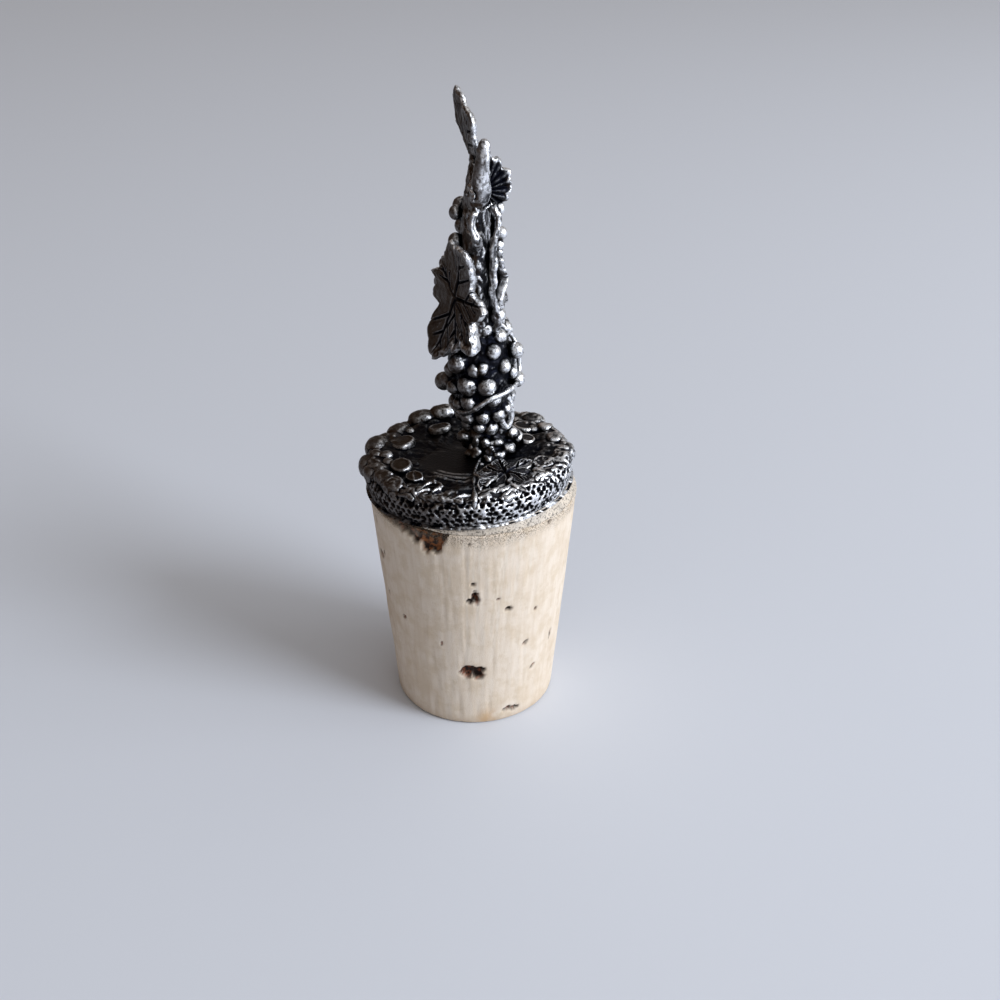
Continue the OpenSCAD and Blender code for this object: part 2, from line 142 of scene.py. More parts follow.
def ramp(tree, value, low, high, to_low=0.0, to_high=1.0):
    """Goes smoothly from one value to another while the given value goes from low to high."""
    return add(tree, "ShaderNodeMapRange", {"interpolation_type": "SMOOTHSTEP"}, {
        "Value": value, "From Min": low, "From Max": high, "To Min": to_low, "To Max": to_high})


def blend(tree, factor, a, b):
    """Mixes two colours, each a hex string or a link."""
    a, b = (linear(c) if isinstance(c, str) else c for c in (a, b))
    return add(tree, "ShaderNodeMix", {"data_type": "RGBA"}, {"Factor": factor, "A": a, "B": b}, "Result")


def axis_of(tree, place, axis):
    return add(tree, "ShaderNodeSeparateXYZ", None, {0: place}, axis)


def smoothstep(x, low, high):
    t = np.clip((x - low) / (high - low), 0, 1)
    return t * t * (3 - 2 * t)


def noise(points, size, seed=0):
    """Smooth noise from -1 to 1 on points in mm, with features of the given size, or size per axis."""
    p = np.asarray(points, float) / np.asarray(size, float) + 1000.37
    cell = np.floor(p).astype(np.int64)
    t = p - cell
    t = t * t * (3 - 2 * t)
    total = np.zeros(p.shape[:-1])
    for corner in range(8):
        step = np.array([corner >> 2 & 1, corner >> 1 & 1, corner & 1])
        key = (cell + step) @ np.array([73856093, 19349663, 83492791]) + seed * 97531
        key = (key ^ (key >> 13)) * 1274126177 & 0x7FFFFFFF
        value = (key ^ (key >> 16)) % 10007 / 5003.0 - 1
        total += np.prod(np.where(step, t, 1 - t), axis=-1) * value
    return total


def crests(points, size, seed=0):
    """Noise from 0 to 1 with sharp crests and round hollows, like torn or folded metal."""
    return (1 - np.minimum(np.abs(noise(points, size, seed)) * 2.2, 1)) ** 1.5


def skin(rings):
    """Points and faces of a closed skin over rings of points, with a middle point at each end."""
    count, around = rings.shape[:2]
    points = np.vstack([rings.reshape(-1, 3), rings[0].mean(0), rings[-1].mean(0)])
    j = np.arange(around)
    n = (j + 1) % around
    rows = [np.column_stack([i * around + j, i * around + n, (i + 1) * around + n, (i + 1) * around + j])
            for i in range(count - 1)]
    last = (count - 1) * around
    caps = [np.column_stack([np.full(around, count * around), n, j]),
            np.column_stack([np.full(around, count * around + 1), last + j, last + n])]
    volume = sum((np.cross(points[f[:, a]], points[f[:, b]]) * points[f[:, 0]]).sum()
                 for f in rows + caps for a, b in [(1, 2), (2, -1)][:f.shape[1] - 2])
    faces = [f if volume > 0 else f[:, ::-1] for f in rows + caps]
    return points, [face for f in faces for face in f.tolist()]


def triples(x, y, z):
    """Points from their x, y and z, each of which may be a row, a column or a table."""
    return np.stack(np.broadcast_arrays(x, y, z), axis=-1)


def oval(across, deep, z, sides, x=0.0, y=0.0):
    """A level ring of points, with its half widths in X and Y."""
    angle = np.arange(sides) * math.tau / sides
    return np.column_stack([x + across * np.cos(angle), y + deep * np.sin(angle), np.full(sides, z)])


def outward(section):
    """Outward direction of a turned section at each of its points: its part along the radius, and upwards."""
    slope = np.gradient(section, axis=0)
    slope /= np.linalg.norm(slope, axis=1)[:, None]
    return slope[:, 1][:, None], -slope[:, 0][:, None]


def apart(degrees, centre):
    """How many degrees directions lie from a centre, either way round."""
    return np.abs((degrees - centre + 180) % 360 - 180)


def new_object(name, points, faces=(), edges=(), **attributes):
    """A mesh object with attributes on its points, each a number or a vector."""
    mesh = bpy.data.meshes.new(name)
    mesh.from_pydata(np.asarray(points).tolist(), edges, faces)
    for key, values in attributes.items():
        values = np.asarray(values, np.float32)
        kind, field = ("FLOAT", "value") if values.ndim == 1 else ("FLOAT_VECTOR", "vector")
        mesh.attributes.new(key, kind, "POINT").data.foreach_set(field, values.ravel())
    thing = bpy.data.objects.new(name, mesh)
    bpy.context.scene.collection.objects.link(thing)
    return thing


def solid(name, rings, matrix=None, **attributes):
    """A closed skin over rings of points, with attributes for all of its rings or for the first ones."""
    points, faces = skin(rings)
    for key, values in attributes.items():
        whole = np.zeros(rings.shape[:2])
        whole[:len(values)] = values
        attributes[key] = np.append(whole.ravel(), [0, 0])
    return new_object(name, points if matrix is None else placed(points, matrix), faces, **attributes)


def bake_modifiers(thing):
    """Turns an object with modifiers into a plain mesh."""
    graph = bpy.context.evaluated_depsgraph_get()
    mesh = bpy.data.meshes.new_from_object(thing.evaluated_get(graph), depsgraph=graph)
    thing.modifiers.clear()
    thing.data = mesh
    return thing


def grow(thing, tree, **values):
    """Runs a node tree on an object, with its named inputs set by identifier before it first runs."""
    collection = bpy.context.scene.collection
    collection.objects.unlink(thing)
    modifier = thing.modifiers.new(tree.name, "NODES")
    modifier.node_group = tree
    for socket in tree.interface.items_tree:
        key = socket.name.replace(" ", "_").lower()
        if socket.in_out == "INPUT" and key in values:
            modifier[socket.identifier] = values[key]
    collection.objects.link(thing)
    return bake_modifiers(thing)


def fuse(name, things, cell=FUSE_CELL):
    """Joins overlapping solids into one skin, as metal that was poured in one piece."""
    first, *others = things
    merged = bmesh.new()
    for thing in things:
        merged.from_mesh(thing.data)
    merged.to_mesh(first.data)
    merged.free()
    for thing in others:
        bpy.data.objects.remove(thing)
    first.name = name
    modifier = first.modifiers.new("fuse", "REMESH")
    modifier.mode = "VOXEL"
    modifier.voxel_size = cell / FINE
    return bake_modifiers(first)


def points_of(thing):
    points = np.empty(len(thing.data.vertices) * 3)
    thing.data.vertices.foreach_get("co", points)
    return points.reshape(-1, 3)


def normals_of(thing):
    normals = np.empty(len(thing.data.vertices) * 3, np.float32)
    thing.data.vertex_normals.foreach_get("vector", normals)
    return normals.reshape(-1, 3)


def push(thing, offsets):
    """Moves a mesh's points along their normals by the given distances in mm."""
    thing.data.vertices.foreach_set("co", (points_of(thing) + normals_of(thing) * offsets[:, None]).ravel())
    thing.data.update()


def store(thing, name, values):
    layer = thing.data.attributes.new(name, "FLOAT", "POINT")
    layer.data.foreach_set("value", np.asarray(values, np.float32))


def turn(axis, degrees):
    return Matrix.Rotation(math.radians(degrees), 4, axis)


def move(x, y, z):
    return Matrix.Translation((x, y, z))


def placed(points, matrix):
    m = np.array(matrix)
    return np.asarray(points) @ m[:3, :3].T + m[:3, 3]


CASTING = move(-CAP_SHIFT, 0, CORK_LEN + CAP_LIFT) @ turn("Y", -CAP_LEAN)
ORNAMENT = CASTING @ move(FOOT_X, FOOT_Y, 0)


def stem_z(share):
    return BUNCH_BASE_Z + BUNCH_H + share * STEM_H


# ---- node trees that shape the pieces ---------------------------------------------------------------


def new_tree(name, **inputs):
    """A geometry tree with a Geometry input and output and the given named inputs."""
    tree = bpy.data.node_groups.new(name, "GeometryNodeTree")
    for key, kind in {"geometry": "Geometry", **inputs}.items():
        label = key.replace("_", " ").title()
        tree.interface.new_socket(label, in_out="INPUT", socket_type="NodeSocket" + kind)
    tree.interface.new_socket("Geometry", in_out="OUTPUT", socket_type="NodeSocketGeometry")
    return tree, tree.nodes.new("NodeGroupInput").outputs


def named(tree, name, kind="FLOAT"):
    """Reads an attribute of the points."""
    return add(tree, "GeometryNodeInputNamedAttribute", {"data_type": kind}, {"Name": name})


def stored(tree, geometry, name, value):
    """Writes a number on the points."""
    return add(tree, "GeometryNodeStoreNamedAttribute", {"data_type": "FLOAT"}, {
        "Geometry": geometry, "Name": name, "Value": value})


def finish_tree(tree, geometry, material):
    """Ends a tree in plain mesh with its material."""
    real = add(tree, "GeometryNodeRealizeInstances", None, {"Geometry": geometry})
    done = add(tree, "GeometryNodeSetMaterial", None, {"Geometry": real, "Material": material})
    tree.links.new(done, tree.nodes.new("NodeGroupOutput").inputs[0])
    return tree


def bead_tree():
    """Puts a round or pebble-shaped bead on every point, at the point's own widths and turn."""
    tree, given = new_tree("beads", roundness="Int", squareness="Float", material="Material")
    ball = add(tree, "GeometryNodeMeshIcoSphere", None, {"Radius": 0.5, "Subdivisions": given["Roundness"]})
    here = add(tree, "GeometryNodeInputPosition")
    total = 0.0
    for axis in range(3):
        side = product(tree, calc(tree, "ABSOLUTE", axis_of(tree, here, axis)), 2.0)
        total = calc(tree, "ADD", calc(tree, "POWER", side, given["Squareness"]), total)
    swell = calc(tree, "POWER", total, calc(tree, "DIVIDE", -1.0, given["Squareness"]))
    ball = add(tree, "GeometryNodeSetPosition", None, {
        "Geometry": ball, "Position": vector(tree, "SCALE", here, swell)})
    crowd = add(tree, "GeometryNodeInstanceOnPoints", None, {
        "Points": given["Geometry"], "Instance": ball, "Rotation": named(tree, "turns", "FLOAT_VECTOR"),
        "Scale": named(tree, "widths", "FLOAT_VECTOR")})
    return finish_tree(tree, crowd, given["Material"])


def shoot_tree():
    """Sweeps a round section along a smooth path, at the path's own width."""
    tree, given = new_tree("shoots", section="Int", step="Float", material="Material")
    path = add(tree, "GeometryNodeMeshToCurve", None, {"Mesh": given["Geometry"]})
    path = add(tree, "GeometryNodeCurveSplineType", {"spline_type": "CATMULL_ROM"}, {"Curve": path})
    path = add(tree, "GeometryNodeResampleCurve", {"mode": "LENGTH"}, {
        "Curve": path, "Length": given["Step"]})
    ring = add(tree, "GeometryNodeCurvePrimitiveCircle", None, {
        "Resolution": given["Section"], "Radius": 0.5})
    tube = add(tree, "GeometryNodeCurveToMesh", None, {
        "Curve": path, "Profile Curve": ring, "Scale": named(tree, "width"), "Fill Caps": True})
    return finish_tree(tree, tube, given["Material"])


def pit_tree():
    """Presses staggered rows of small round pits into the cap's wall and stores how deep each point is."""
    tree, given = new_tree(
        "wall_pits", radius="Float", spacing="Float", row_pitch="Float", rows="Int", first_row="Float",
        pit_radius="Float", depth="Float", pull="Float", seed="Int", material="Material")
    radius = given["Radius"]

    def chance(low, high, offset):
        seed = calc(tree, "ADD", given["Seed"], float(offset))
        return add(tree, "FunctionNodeRandomValue", None, {"Min": low, "Max": high, "Seed": seed}, 1)

    # Each pit's place, from its number
    around = calc(tree, "FLOOR", calc(tree, "DIVIDE", product(tree, radius, math.tau), given["Spacing"]))
    number = add(tree, "GeometryNodeInputIndex")
    row = calc(tree, "FLOOR", calc(tree, "DIVIDE", number, around))
    along = calc(tree, "ADD", product(tree, row, 0.5), chance(-0.22, 0.22, 1))
    angle = calc(tree, "DIVIDE", product(tree, calc(tree, "ADD", number, along), math.tau), around)
    height = product(tree, calc(tree, "ADD", row, chance(-0.2, 0.2, 2)), given["Row Pitch"])
    place = add(tree, "ShaderNodeCombineXYZ", None, {
        "X": product(tree, calc(tree, "COSINE", angle), radius),
        "Y": product(tree, calc(tree, "SINE", angle), radius),
        "Z": calc(tree, "ADD", height, given["First Row"])})
    pits = add(tree, "GeometryNodePoints", None, {
        "Count": product(tree, around, given["Rows"]), "Position": place,
        "Radius": product(tree, chance(0.62, 1.25, 3), given["Pit Radius"])})
    here = add(tree, "GeometryNodeInputPosition")
    nearest = add(tree, "GeometryNodeSampleNearest", None, {"Geometry": pits, "Sample Position": here})
    middle = add(tree, "GeometryNodeSampleIndex", {"data_type": "FLOAT_VECTOR"}, {
        "Geometry": pits, "Value": here, "Index": nearest})
    pit_r = add(tree, "GeometryNodeSampleIndex", {"data_type": "FLOAT"}, {
        "Geometry": pits, "Value": add(tree, "GeometryNodeInputRadius"), "Index": nearest})
    # The pits' outlines are pulled about, so that none is a true circle
    pull = add(tree, "ShaderNodeTexNoise", None, {"Vector": here, "Scale": 1.9, "Detail": 1.0}, "Color")
    pull = vector(tree, "SCALE", vector(tree, "SUBTRACT", pull, (0.5, 0.5, 0.5)), given["Pull"])
    away = vector(tree, "DISTANCE", vector(tree, "ADD", here, pull), middle)
    sunk = product(tree, ramp(tree, calc(tree, "DIVIDE", away, pit_r), 1.15, 0.55), named(tree, "pitted"))
    offset = vector(tree, "SCALE", add(tree, "GeometryNodeInputNormal"),
                    product(tree, sunk, product(tree, given["Depth"], -1.0)))
    moved = add(tree, "GeometryNodeSetPosition", None, {
        "Geometry": stored(tree, given["Geometry"], "pit", sunk), "Offset": offset})
    return finish_tree(tree, moved, given["Material"])


def relief_tree(rays):
    """Stores what stands out of a casting and what lies in its hollows, for the patina to follow."""
    tree, given = new_tree("read_relief", casting="Object", reach="Float", material="Material")
    here = add(tree, "GeometryNodeInputPosition")
    normal = add(tree, "GeometryNodeInputNormal")
    geometry = given["Geometry"]
    for name, blur in (("raised", 4), ("swell", 40)):
        level = add(tree, "GeometryNodeBlurAttribute", {"data_type": "FLOAT_VECTOR"}, {
            "Value": here, "Iterations": blur})
        stand = vector(tree, "DOT_PRODUCT", vector(tree, "SUBTRACT", here, level), normal)
        geometry = stored(tree, geometry, name, stand)
    casting = add(tree, "GeometryNodeObjectInfo", None, {"Object": given["Casting"]}, "Geometry")
    start = vector(tree, "ADD", here, vector(tree, "SCALE", normal, 0.03))
    # Rays spread over the side that a point faces: the nearer they hit metal, the deeper the point lies.
    # The lean is a little shorter than the normal, so that no ray runs back into the metal
    total = 0.0
    for i in range(rays):
        height = 1 - (2 * i + 1) / rays
        angle = i * math.pi * (3 - math.sqrt(5))
        ring = math.sqrt(1 - height * height)
        lean = (0.97 * ring * math.cos(angle), 0.97 * ring * math.sin(angle), 0.97 * height)
        ray = add(tree, "GeometryNodeRaycast", None, {
            "Target Geometry": casting, "Source Position": start,
            "Ray Direction": vector(tree, "ADD", normal, lean), "Ray Length": given["Reach"]}).node.outputs
        far = calc(tree, "DIVIDE", ray["Hit Distance"], given["Reach"])
        near = add(tree, "ShaderNodeMath", {"operation": "SUBTRACT", "use_clamp": True}, {0: 1.0, 1: far})
        total = add(tree, "ShaderNodeMath", {"operation": "MULTIPLY_ADD"}, {
            0: product(tree, near, ray["Is Hit"]), 1: 1 / rays, 2: total})
    soft = add(tree, "GeometryNodeBlurAttribute", {"data_type": "FLOAT"}, {"Value": total, "Iterations": 1})
    return finish_tree(tree, stored(tree, geometry, "hollow", soft), given["Material"])


# ---- materials --------------------------------------------------------------------------------------


def new_material(name):
    """A material with its shader, and its place on the piece in millimetres."""
    material = bpy.data.materials.new(name)
    material.use_nodes = True
    tree = material.node_tree
    place = add(tree, "ShaderNodeTexCoord", out="Object")
    place = add(tree, "ShaderNodeMapping", None, {"Vector": place, "Scale": (1 / MM,) * 3})
    return material, tree, tree.nodes["Principled BSDF"], place


def shade(tree, shader, **inputs):
    for key, value in inputs.items():
        socket = shader.inputs[key.replace("_", " ")]
        if isinstance(value, bpy.types.NodeSocket):
            tree.links.new(value, socket)
        else:
            socket.default_value = value


def attribute(tree, name):
    return add(tree, "ShaderNodeAttribute", {"attribute_name": name}, None, "Fac")


def grains(tree, place, scale, detail, roughness=0.5):
    """Noise whose features are about 1 / scale mm wide."""
    return add(tree, "ShaderNodeTexNoise", None, {
        "Vector": place, "Scale": scale, "Detail": detail, "Roughness": roughness})


def bumps(tree, height, strength, distance):
    """Bump of at most the given distance in mm."""
    return add(tree, "ShaderNodeBump", None, {
        "Strength": strength, "Distance": distance * MM, "Height": height})


def pewter_material():
    """Antiqued pewter: cast, blackened all over, then worn by rubbing, so that what stands out is bright and
    bare; the side that faces the lamps is painted brighter, as lit, and the far side darker, as shaded.
    """
    material, tree, shader, place = new_material("antiqued_cast_pewter")
    raised, swell, hollow, pit, ground, polish = (
        attribute(tree, name) for name in ("raised", "swell", "hollow", "pit", "ground", "polish"))
    # Grains of the cast skin, about 0.2 mm, blotches of the patina, about 1.2 mm, and flecks, about 0.3 mm
    skin_grain = grains(tree, place, 5.0, 3.0)
    blotch = grains(tree, place, 0.8, 2.0)
    fleck = grains(tree, place, 3.0, 4.0, 0.6)
    # Painted light and shade: the near right, which faces the lamps, is painted bare and bright, and the far
    # left keeps its black as painted shade, by the way a face turns and by its place from left to right; some
    # rubbing also came behind
    looks = add(tree, "ShaderNodeTexCoord", out="Normal")
    light_facing = vector(tree, "DOT_PRODUCT", looks, (0.8, -0.3, 0.52))
    light_facing = calc(tree, "ADD", light_facing, ramp(tree, axis_of(tree, place, 0), -11.0, 11.0, -0.5, 0.3))
    light_facing = calc(tree, "ADD", light_facing, calc(tree, "SUBTRACT", fleck, 0.5))
    behind = vector(tree, "DOT_PRODUCT", looks, (-0.2, 0.9, 0.3))
    lit_side_and_wear = calc(tree, "MAXIMUM", ramp(tree, light_facing, 0.0, 0.7, 0.12, 1.0),
                   ramp(tree, behind, 0.1, 0.9, 0.0, 0.7))
    lit_sheen_and_wear = calc(tree, "MAXIMUM", lit_side_and_wear, ramp(tree, light_facing, -0.4, 0.55, 0.2, 1.0))
    # Bare metal: on edges and swells that lie open, and where a piece was polished, kept mostly to the side
    # that faces the lamps, so partly a painted highlight
    openness = product(tree, ramp(tree, hollow, 0.42, 0.08), ramp(tree, ground, 0.0, 1.0, 1.0, 0.12))
    edge = calc(tree, "ADD", raised, product(tree, swell, 0.25))
    edge = calc(tree, "ADD", edge, product(tree, calc(tree, "SUBTRACT", skin_grain, 0.5), 0.05))
    edge = product(tree, ramp(tree, edge, 0.014, 0.06), openness, lit_side_and_wear)
    smooth = calc(tree, "ADD", raised, product(tree, skin_grain, 0.01))
    smooth = product(tree, polish, ramp(tree, hollow, 0.75, 0.35), ramp(tree, smooth, -0.02, 0.006), lit_sheen_and_wear)
    bare_and_highlight = product(tree, calc(tree, "MAXIMUM", edge, smooth), ramp(tree, pit, 0.5, 0.05),
                     ramp(tree, fleck, 0.39, 0.5, 0.35, 1.0))
    # Grey metal where the black is only thinned, more of it on the side that faces the lamps as painted sheen
    worn = product(tree, openness, ramp(tree, blotch, 0.45, 0.75, 0.0, 0.4), lit_sheen_and_wear,
                   ramp(tree, pit, 0.6, 0.1))
    # Open faces: a painted reflection, warm brown on the side turned away from the lamps and dark grey on the
    # lit side
    colour = blend(tree, openness, "#090b13", blend(tree, lit_side_and_wear, "#3b2f25", "#1e1e22"))
    colour = blend(tree, pit, colour, "#07070a")
    colour = blend(tree, worn, colour, "#6b6c73")
    colour = blend(tree, bare_and_highlight, colour, "#f6f8fc")
    rough = product(tree, calc(tree, "SUBTRACT", blotch, 0.5), 0.2)
    rough = calc(tree, "ADD", ramp(tree, bare_and_highlight, 0.0, 1.0, 0.46, 0.28), rough)
    shade(tree, shader, Base_Color=colour, Metallic=1.0, Roughness=rough,
          Normal=bumps(tree, calc(tree, "ADD", skin_grain, fleck), 0.6, 0.08))
    return material


def cork_material():
    """Natural cork, punched along the bark: warm cream with tan grain up its length, and brown pores."""
    material, tree, shader, place = new_material("natural_cork")
    # Growth grain about 0.5 mm wide and 7 mm long, bands of about 5 mm, cells of 0.15 mm and mottling of 2 mm
    long_way = add(tree, "ShaderNodeMapping", None, {"Vector": place, "Scale": (2.2, 2.2, 0.14)})
    grain = grains(tree, long_way, 1.0, 4.0)
    band = grains(tree, place, 0.2, 2.0)
    cells = grains(tree, place, 6.5, 2.0)
    mottle = grains(tree, place, 0.55, 5.0, 0.65)
    colour = blend(tree, ramp(tree, grain, 0.35, 0.75, 0.0, 0.45), "#d8ccbd", "#c7b59f")
    colour = blend(tree, ramp(tree, mottle, 0.42, 0.68, 0.0, 0.6), colour, "#c4b299")
    colour = blend(tree, ramp(tree, band, 0.5, 0.75, 0.0, 0.5), colour, "#bfab91")
    colour = blend(tree, ramp(tree, cells, 0.58, 0.75, 0.0, 0.35), colour, "#b69d80")
    up = axis_of(tree, place, 2)
    # Painted shade: darker and browner below about 1.8 mm, where the small end stands on the floor
    colour = blend(tree, ramp(tree, up, 1.8, 0.1, 0.0, 0.4), colour, "#a88f70")
    colour = blend(tree, attribute(tree, "scratch"), colour, "#e9dfd1")
    colour = blend(tree, attribute(tree, "stain"), colour, "#b48a55")
    # Crumbling brown bark in the chip and in the pores
    crumbs = grains(tree, place, 1.6, 4.0)
    rust = blend(tree, ramp(tree, crumbs, 0.42, 0.62), "#22130b", "#86522c")
    colour = blend(tree, attribute(tree, "torn"), colour, rust)
    bark = blend(tree, ramp(tree, crumbs, 0.48, 0.66), "#20130d", "#7d4a34")
    colour = blend(tree, attribute(tree, "pit"), colour, bark)
    # Cement dust and fine dark grit under the casting's edge, laid thick enough to stand in for the shade
    # under the edge too
    low = add(tree, "ShaderNodeMath", {"operation": "MULTIPLY_ADD"}, {0: band, 1: 2.4, 2: CORK_LEN - 3.2})
    dust_and_shade_band = ramp(tree, calc(tree, "SUBTRACT", up, low), 0.0, 1.6)
    grit = ramp(tree, grains(tree, place, 9.0, 1.0), 0.49, 0.6)
    colour = blend(tree, product(tree, dust_and_shade_band, grit), colour, "#7b6f60")
    height = calc(tree, "ADD", product(tree, grain, 0.8), cells)
    shade(tree, shader, Base_Color=colour, Roughness=0.82, Normal=bumps(tree, height, 0.5, 0.05), IOR=1.45)
    return material


def adhesive_material():
    """Squeezed-out cement, set frosted and full of fine bubbles, with specks of patina in it."""
    material, tree, shader, place = new_material("frosted_cement")
    # Bubbles and specks about 0.2 mm, clouds about 2 mm
    speck = grains(tree, place, 5.0, 3.0)
    cloud = grains(tree, place, 0.5, 2.0)
    colour = blend(tree, ramp(tree, cloud, 0.35, 0.65), "#cbbfaf", "#b5aca0")
    colour = blend(tree, ramp(tree, speck, 0.5, 0.62, 0.0, 0.85), colour, "#5f5850")
    shade(tree, shader, Base_Color=colour, Roughness=0.5, Normal=bumps(tree, speck, 0.5, 0.05), IOR=1.5,
          Subsurface_Weight=0.2, Subsurface_Radius=(0.6 * MM, 0.6 * MM, 0.5 * MM), Subsurface_Scale=1.0)
    return material


def floor_material():
    """Plain matt board under the stopper."""
    material, tree, shader, _ = new_material("matt_pale_board")
    shade(tree, shader, Base_Color=linear("#d1d6df"), Roughness=0.7)
    return material


# ---- cork -------------------------------------------------------------------------------------------

# Pores in the cork's side: [direction from the near side, height, width, length, depth, lean in degrees]
PORES = [
    [2, 18.8, 0.85, 2.1, 0.9, 8], [0.6, 20.8, 0.4, 0.6, 0.5, -15], [-1.2, 18.5, 0.8, 0.8, 0.5, 40],
    [-4.2, 8.1, 1.7, 2, 0.8, 20], [-0.8, 8.2, 1.7, 1.5, 0.7, -10], [2.4, 7.8, 1.8, 1.6, 0.9, 20],
    [5, 8.5, 1.1, 0.8, 0.6, -10],
    [21.8, 16.9, 0.85, 0.6, 0.6, 0], [41, 15.6, 0.5, 0.5, 0.5, 0], [35, 11.15, 1.0, 0.4, 0.6, 35],
    [43, 7, 0.9, 0.4, 0.6, 35], [24, 1.7, 1.2, 0.6, 0.6, 5], [30, 1.5, 1.3, 0.6, 0.6, -5],
    [75, 18.5, 0.3, 1.5, 0.4, 3], [60, 10, 0.3, 1.4, 0.4, -4], [-1, 26.3, 0.35, 0.35, 0.4, 0],
    [15, 18.5, 0.3, 0.35, 0.3, 0], [46, 27.1, 0.7, 0.6, 0.5, 0], [-20, 12, 0.3, 0.6, 0.2, 0],
    [95, 8.2, 1.4, 1.2, 0.8, 5], [118, 19.8, 0.9, 1.1, 0.6, 8], [140, 4.1, 1.1, 0.8, 0.7, 0],
    [165, 13.8, 1.6, 1.3, 0.9, -10], [190, 22.5, 0.8, 0.9, 0.5, 0], [212, 9.1, 1.3, 1.1, 0.8, 12],
    [240, 16.5, 1, 1.4, 0.6, 0], [268, 5.5, 0.9, 0.7, 0.6, 0], [292, 20.6, 1.2, 1, 0.7, -6],
    [-48, 13.8, 0.7, 0.5, 0.5, 10]]
# Depth of the torn chip below the cork's wide end: [direction, depth]
CHIP = [[-66, 0], [-58, 0.5], [-50, 0.7], [-44, 0.85], [-38, 1.2], [-34.5, 1.8], [-33, 2.9], [-31, 2.6],
        [-29, 2], [-27, 2.4], [-25, 3.1], [-22, 3.2], [-19, 2.9], [-17, 2.6], [-15.5, 1.6], [-14, 1],
        [-12.5, 0.3], [-12, 0]]
# Scratches down the cork's near side: [direction, height] of the upper end, then of the lower one
SCRATCHES = [[4.5, 27, 2, 13], [2.6, 27, 0.6, 21], [28, 26.8, 24, 17.4], [20, 27, 13, 11],
             [-2, 26, -4, 9], [-12, 25, -13, 20], [17, 24, 11.5, 14], [36, 26, 33, 19]]
# Tan stains: [direction, height, reach]
STAINS = [[9, 1.1, 1.5], [205, 9, 2.2], [120, 20, 1.6]]


def cork_radius(z):
    return CORK_BASE_R + (CORK_TOP_R - CORK_BASE_R) * z / CORK_LEN


def cork_pores():
    """The pores seen from the near side, and pores of the same kinds over the rest of the bark."""
    chance = random.Random(4)
    pores = [list(p) for p in PORES]
    for _ in range(26):
        width = chance.uniform(0.25, 0.6)
        pores.append([chance.uniform(62, 318), chance.uniform(1, 26.4), width,
                      width * chance.uniform(0.5, 2.4), 0.3 + 0.4 * width, chance.uniform(-30, 30)])
    return pores


def cork_section():
    """The cork's half section, from the middle of its small end to the edge of its wide one."""
    bow = np.linspace(0, math.pi / 2, 6)
    edge = CORK_EDGE_R
    top_edge, foot_edge = CORK_TOP_R - edge, CORK_BASE_R - edge
    side_z = np.linspace(edge, CORK_LEN - edge, int(165 * FINE))[1:-1]
    section = [(r, 0.0) for r in np.linspace(0.4, foot_edge, int(26 * FINE))[:-1]]
    section += [(foot_edge + edge * math.sin(a), edge * (1 - math.cos(a))) for a in bow]
    section += [(cork_radius(z), z) for z in side_z]
    section += [(top_edge + edge * math.cos(a), CORK_LEN - edge * (1 - math.sin(a))) for a in bow]
    return np.array(section)


def pore_relief(rings, angle, side):
    """How much of a pore each point of the cork's side is, from 0 to 1, and how deep it lies."""
    r, z = np.hypot(rings[:, :1, 0], rings[:, :1, 1]), rings[:, :1, 2]
    pit, depth = np.zeros(rings.shape[:2]), np.zeros(rings.shape[:2])
    for k, (direction, height, width, length, deep, lean) in enumerate(cork_pores()):
        across = (angle - math.radians(direction) + math.pi) % math.tau - math.pi
        u, v = across * r, z - height
        c, s = math.cos(math.radians(lean)), math.sin(math.radians(lean))
        away = np.hypot((u * c + v * s) / (width / 2), (v * c - u * s) / (length / 2))
        away = away + 0.28 * noise(rings, 0.45, 11 + k) + 0.12 * noise(rings, 0.2, 91 + k)
        away = np.where(np.abs(across) < 1, away, 9)
        pit = np.maximum(pit, smoothstep(away, 1.15, 0.8) * side)
        depth = np.maximum(depth, smoothstep(away, 1.1, 0.5) * deep * side)
    return pit, depth


def cork_wide_end(angle):
    """Rings of the flat wide end, and of the bore that takes the casting's peg."""
    flat = [triples(r * np.sin(angle), -r * np.cos(angle), CORK_LEN)
            for r in np.linspace(CORK_TOP_R - CORK_EDGE_R, BORE_R + 0.8, 6)[1:]]
    flat[-1][:, 0] -= CAP_SHIFT * 1.6
    x, y = BORE_R * np.sin(angle), -BORE_R * np.cos(angle)
    lean = math.radians(CAP_LEAN)
    mouth = -(CAP_LIFT + x * math.sin(lean)) / math.cos(lean)
    hole = [placed(triples(x, y, z), CASTING) for z in (mouth, -0.5 * BORE_DEPTH, -BORE_DEPTH)]
    return flat + hole


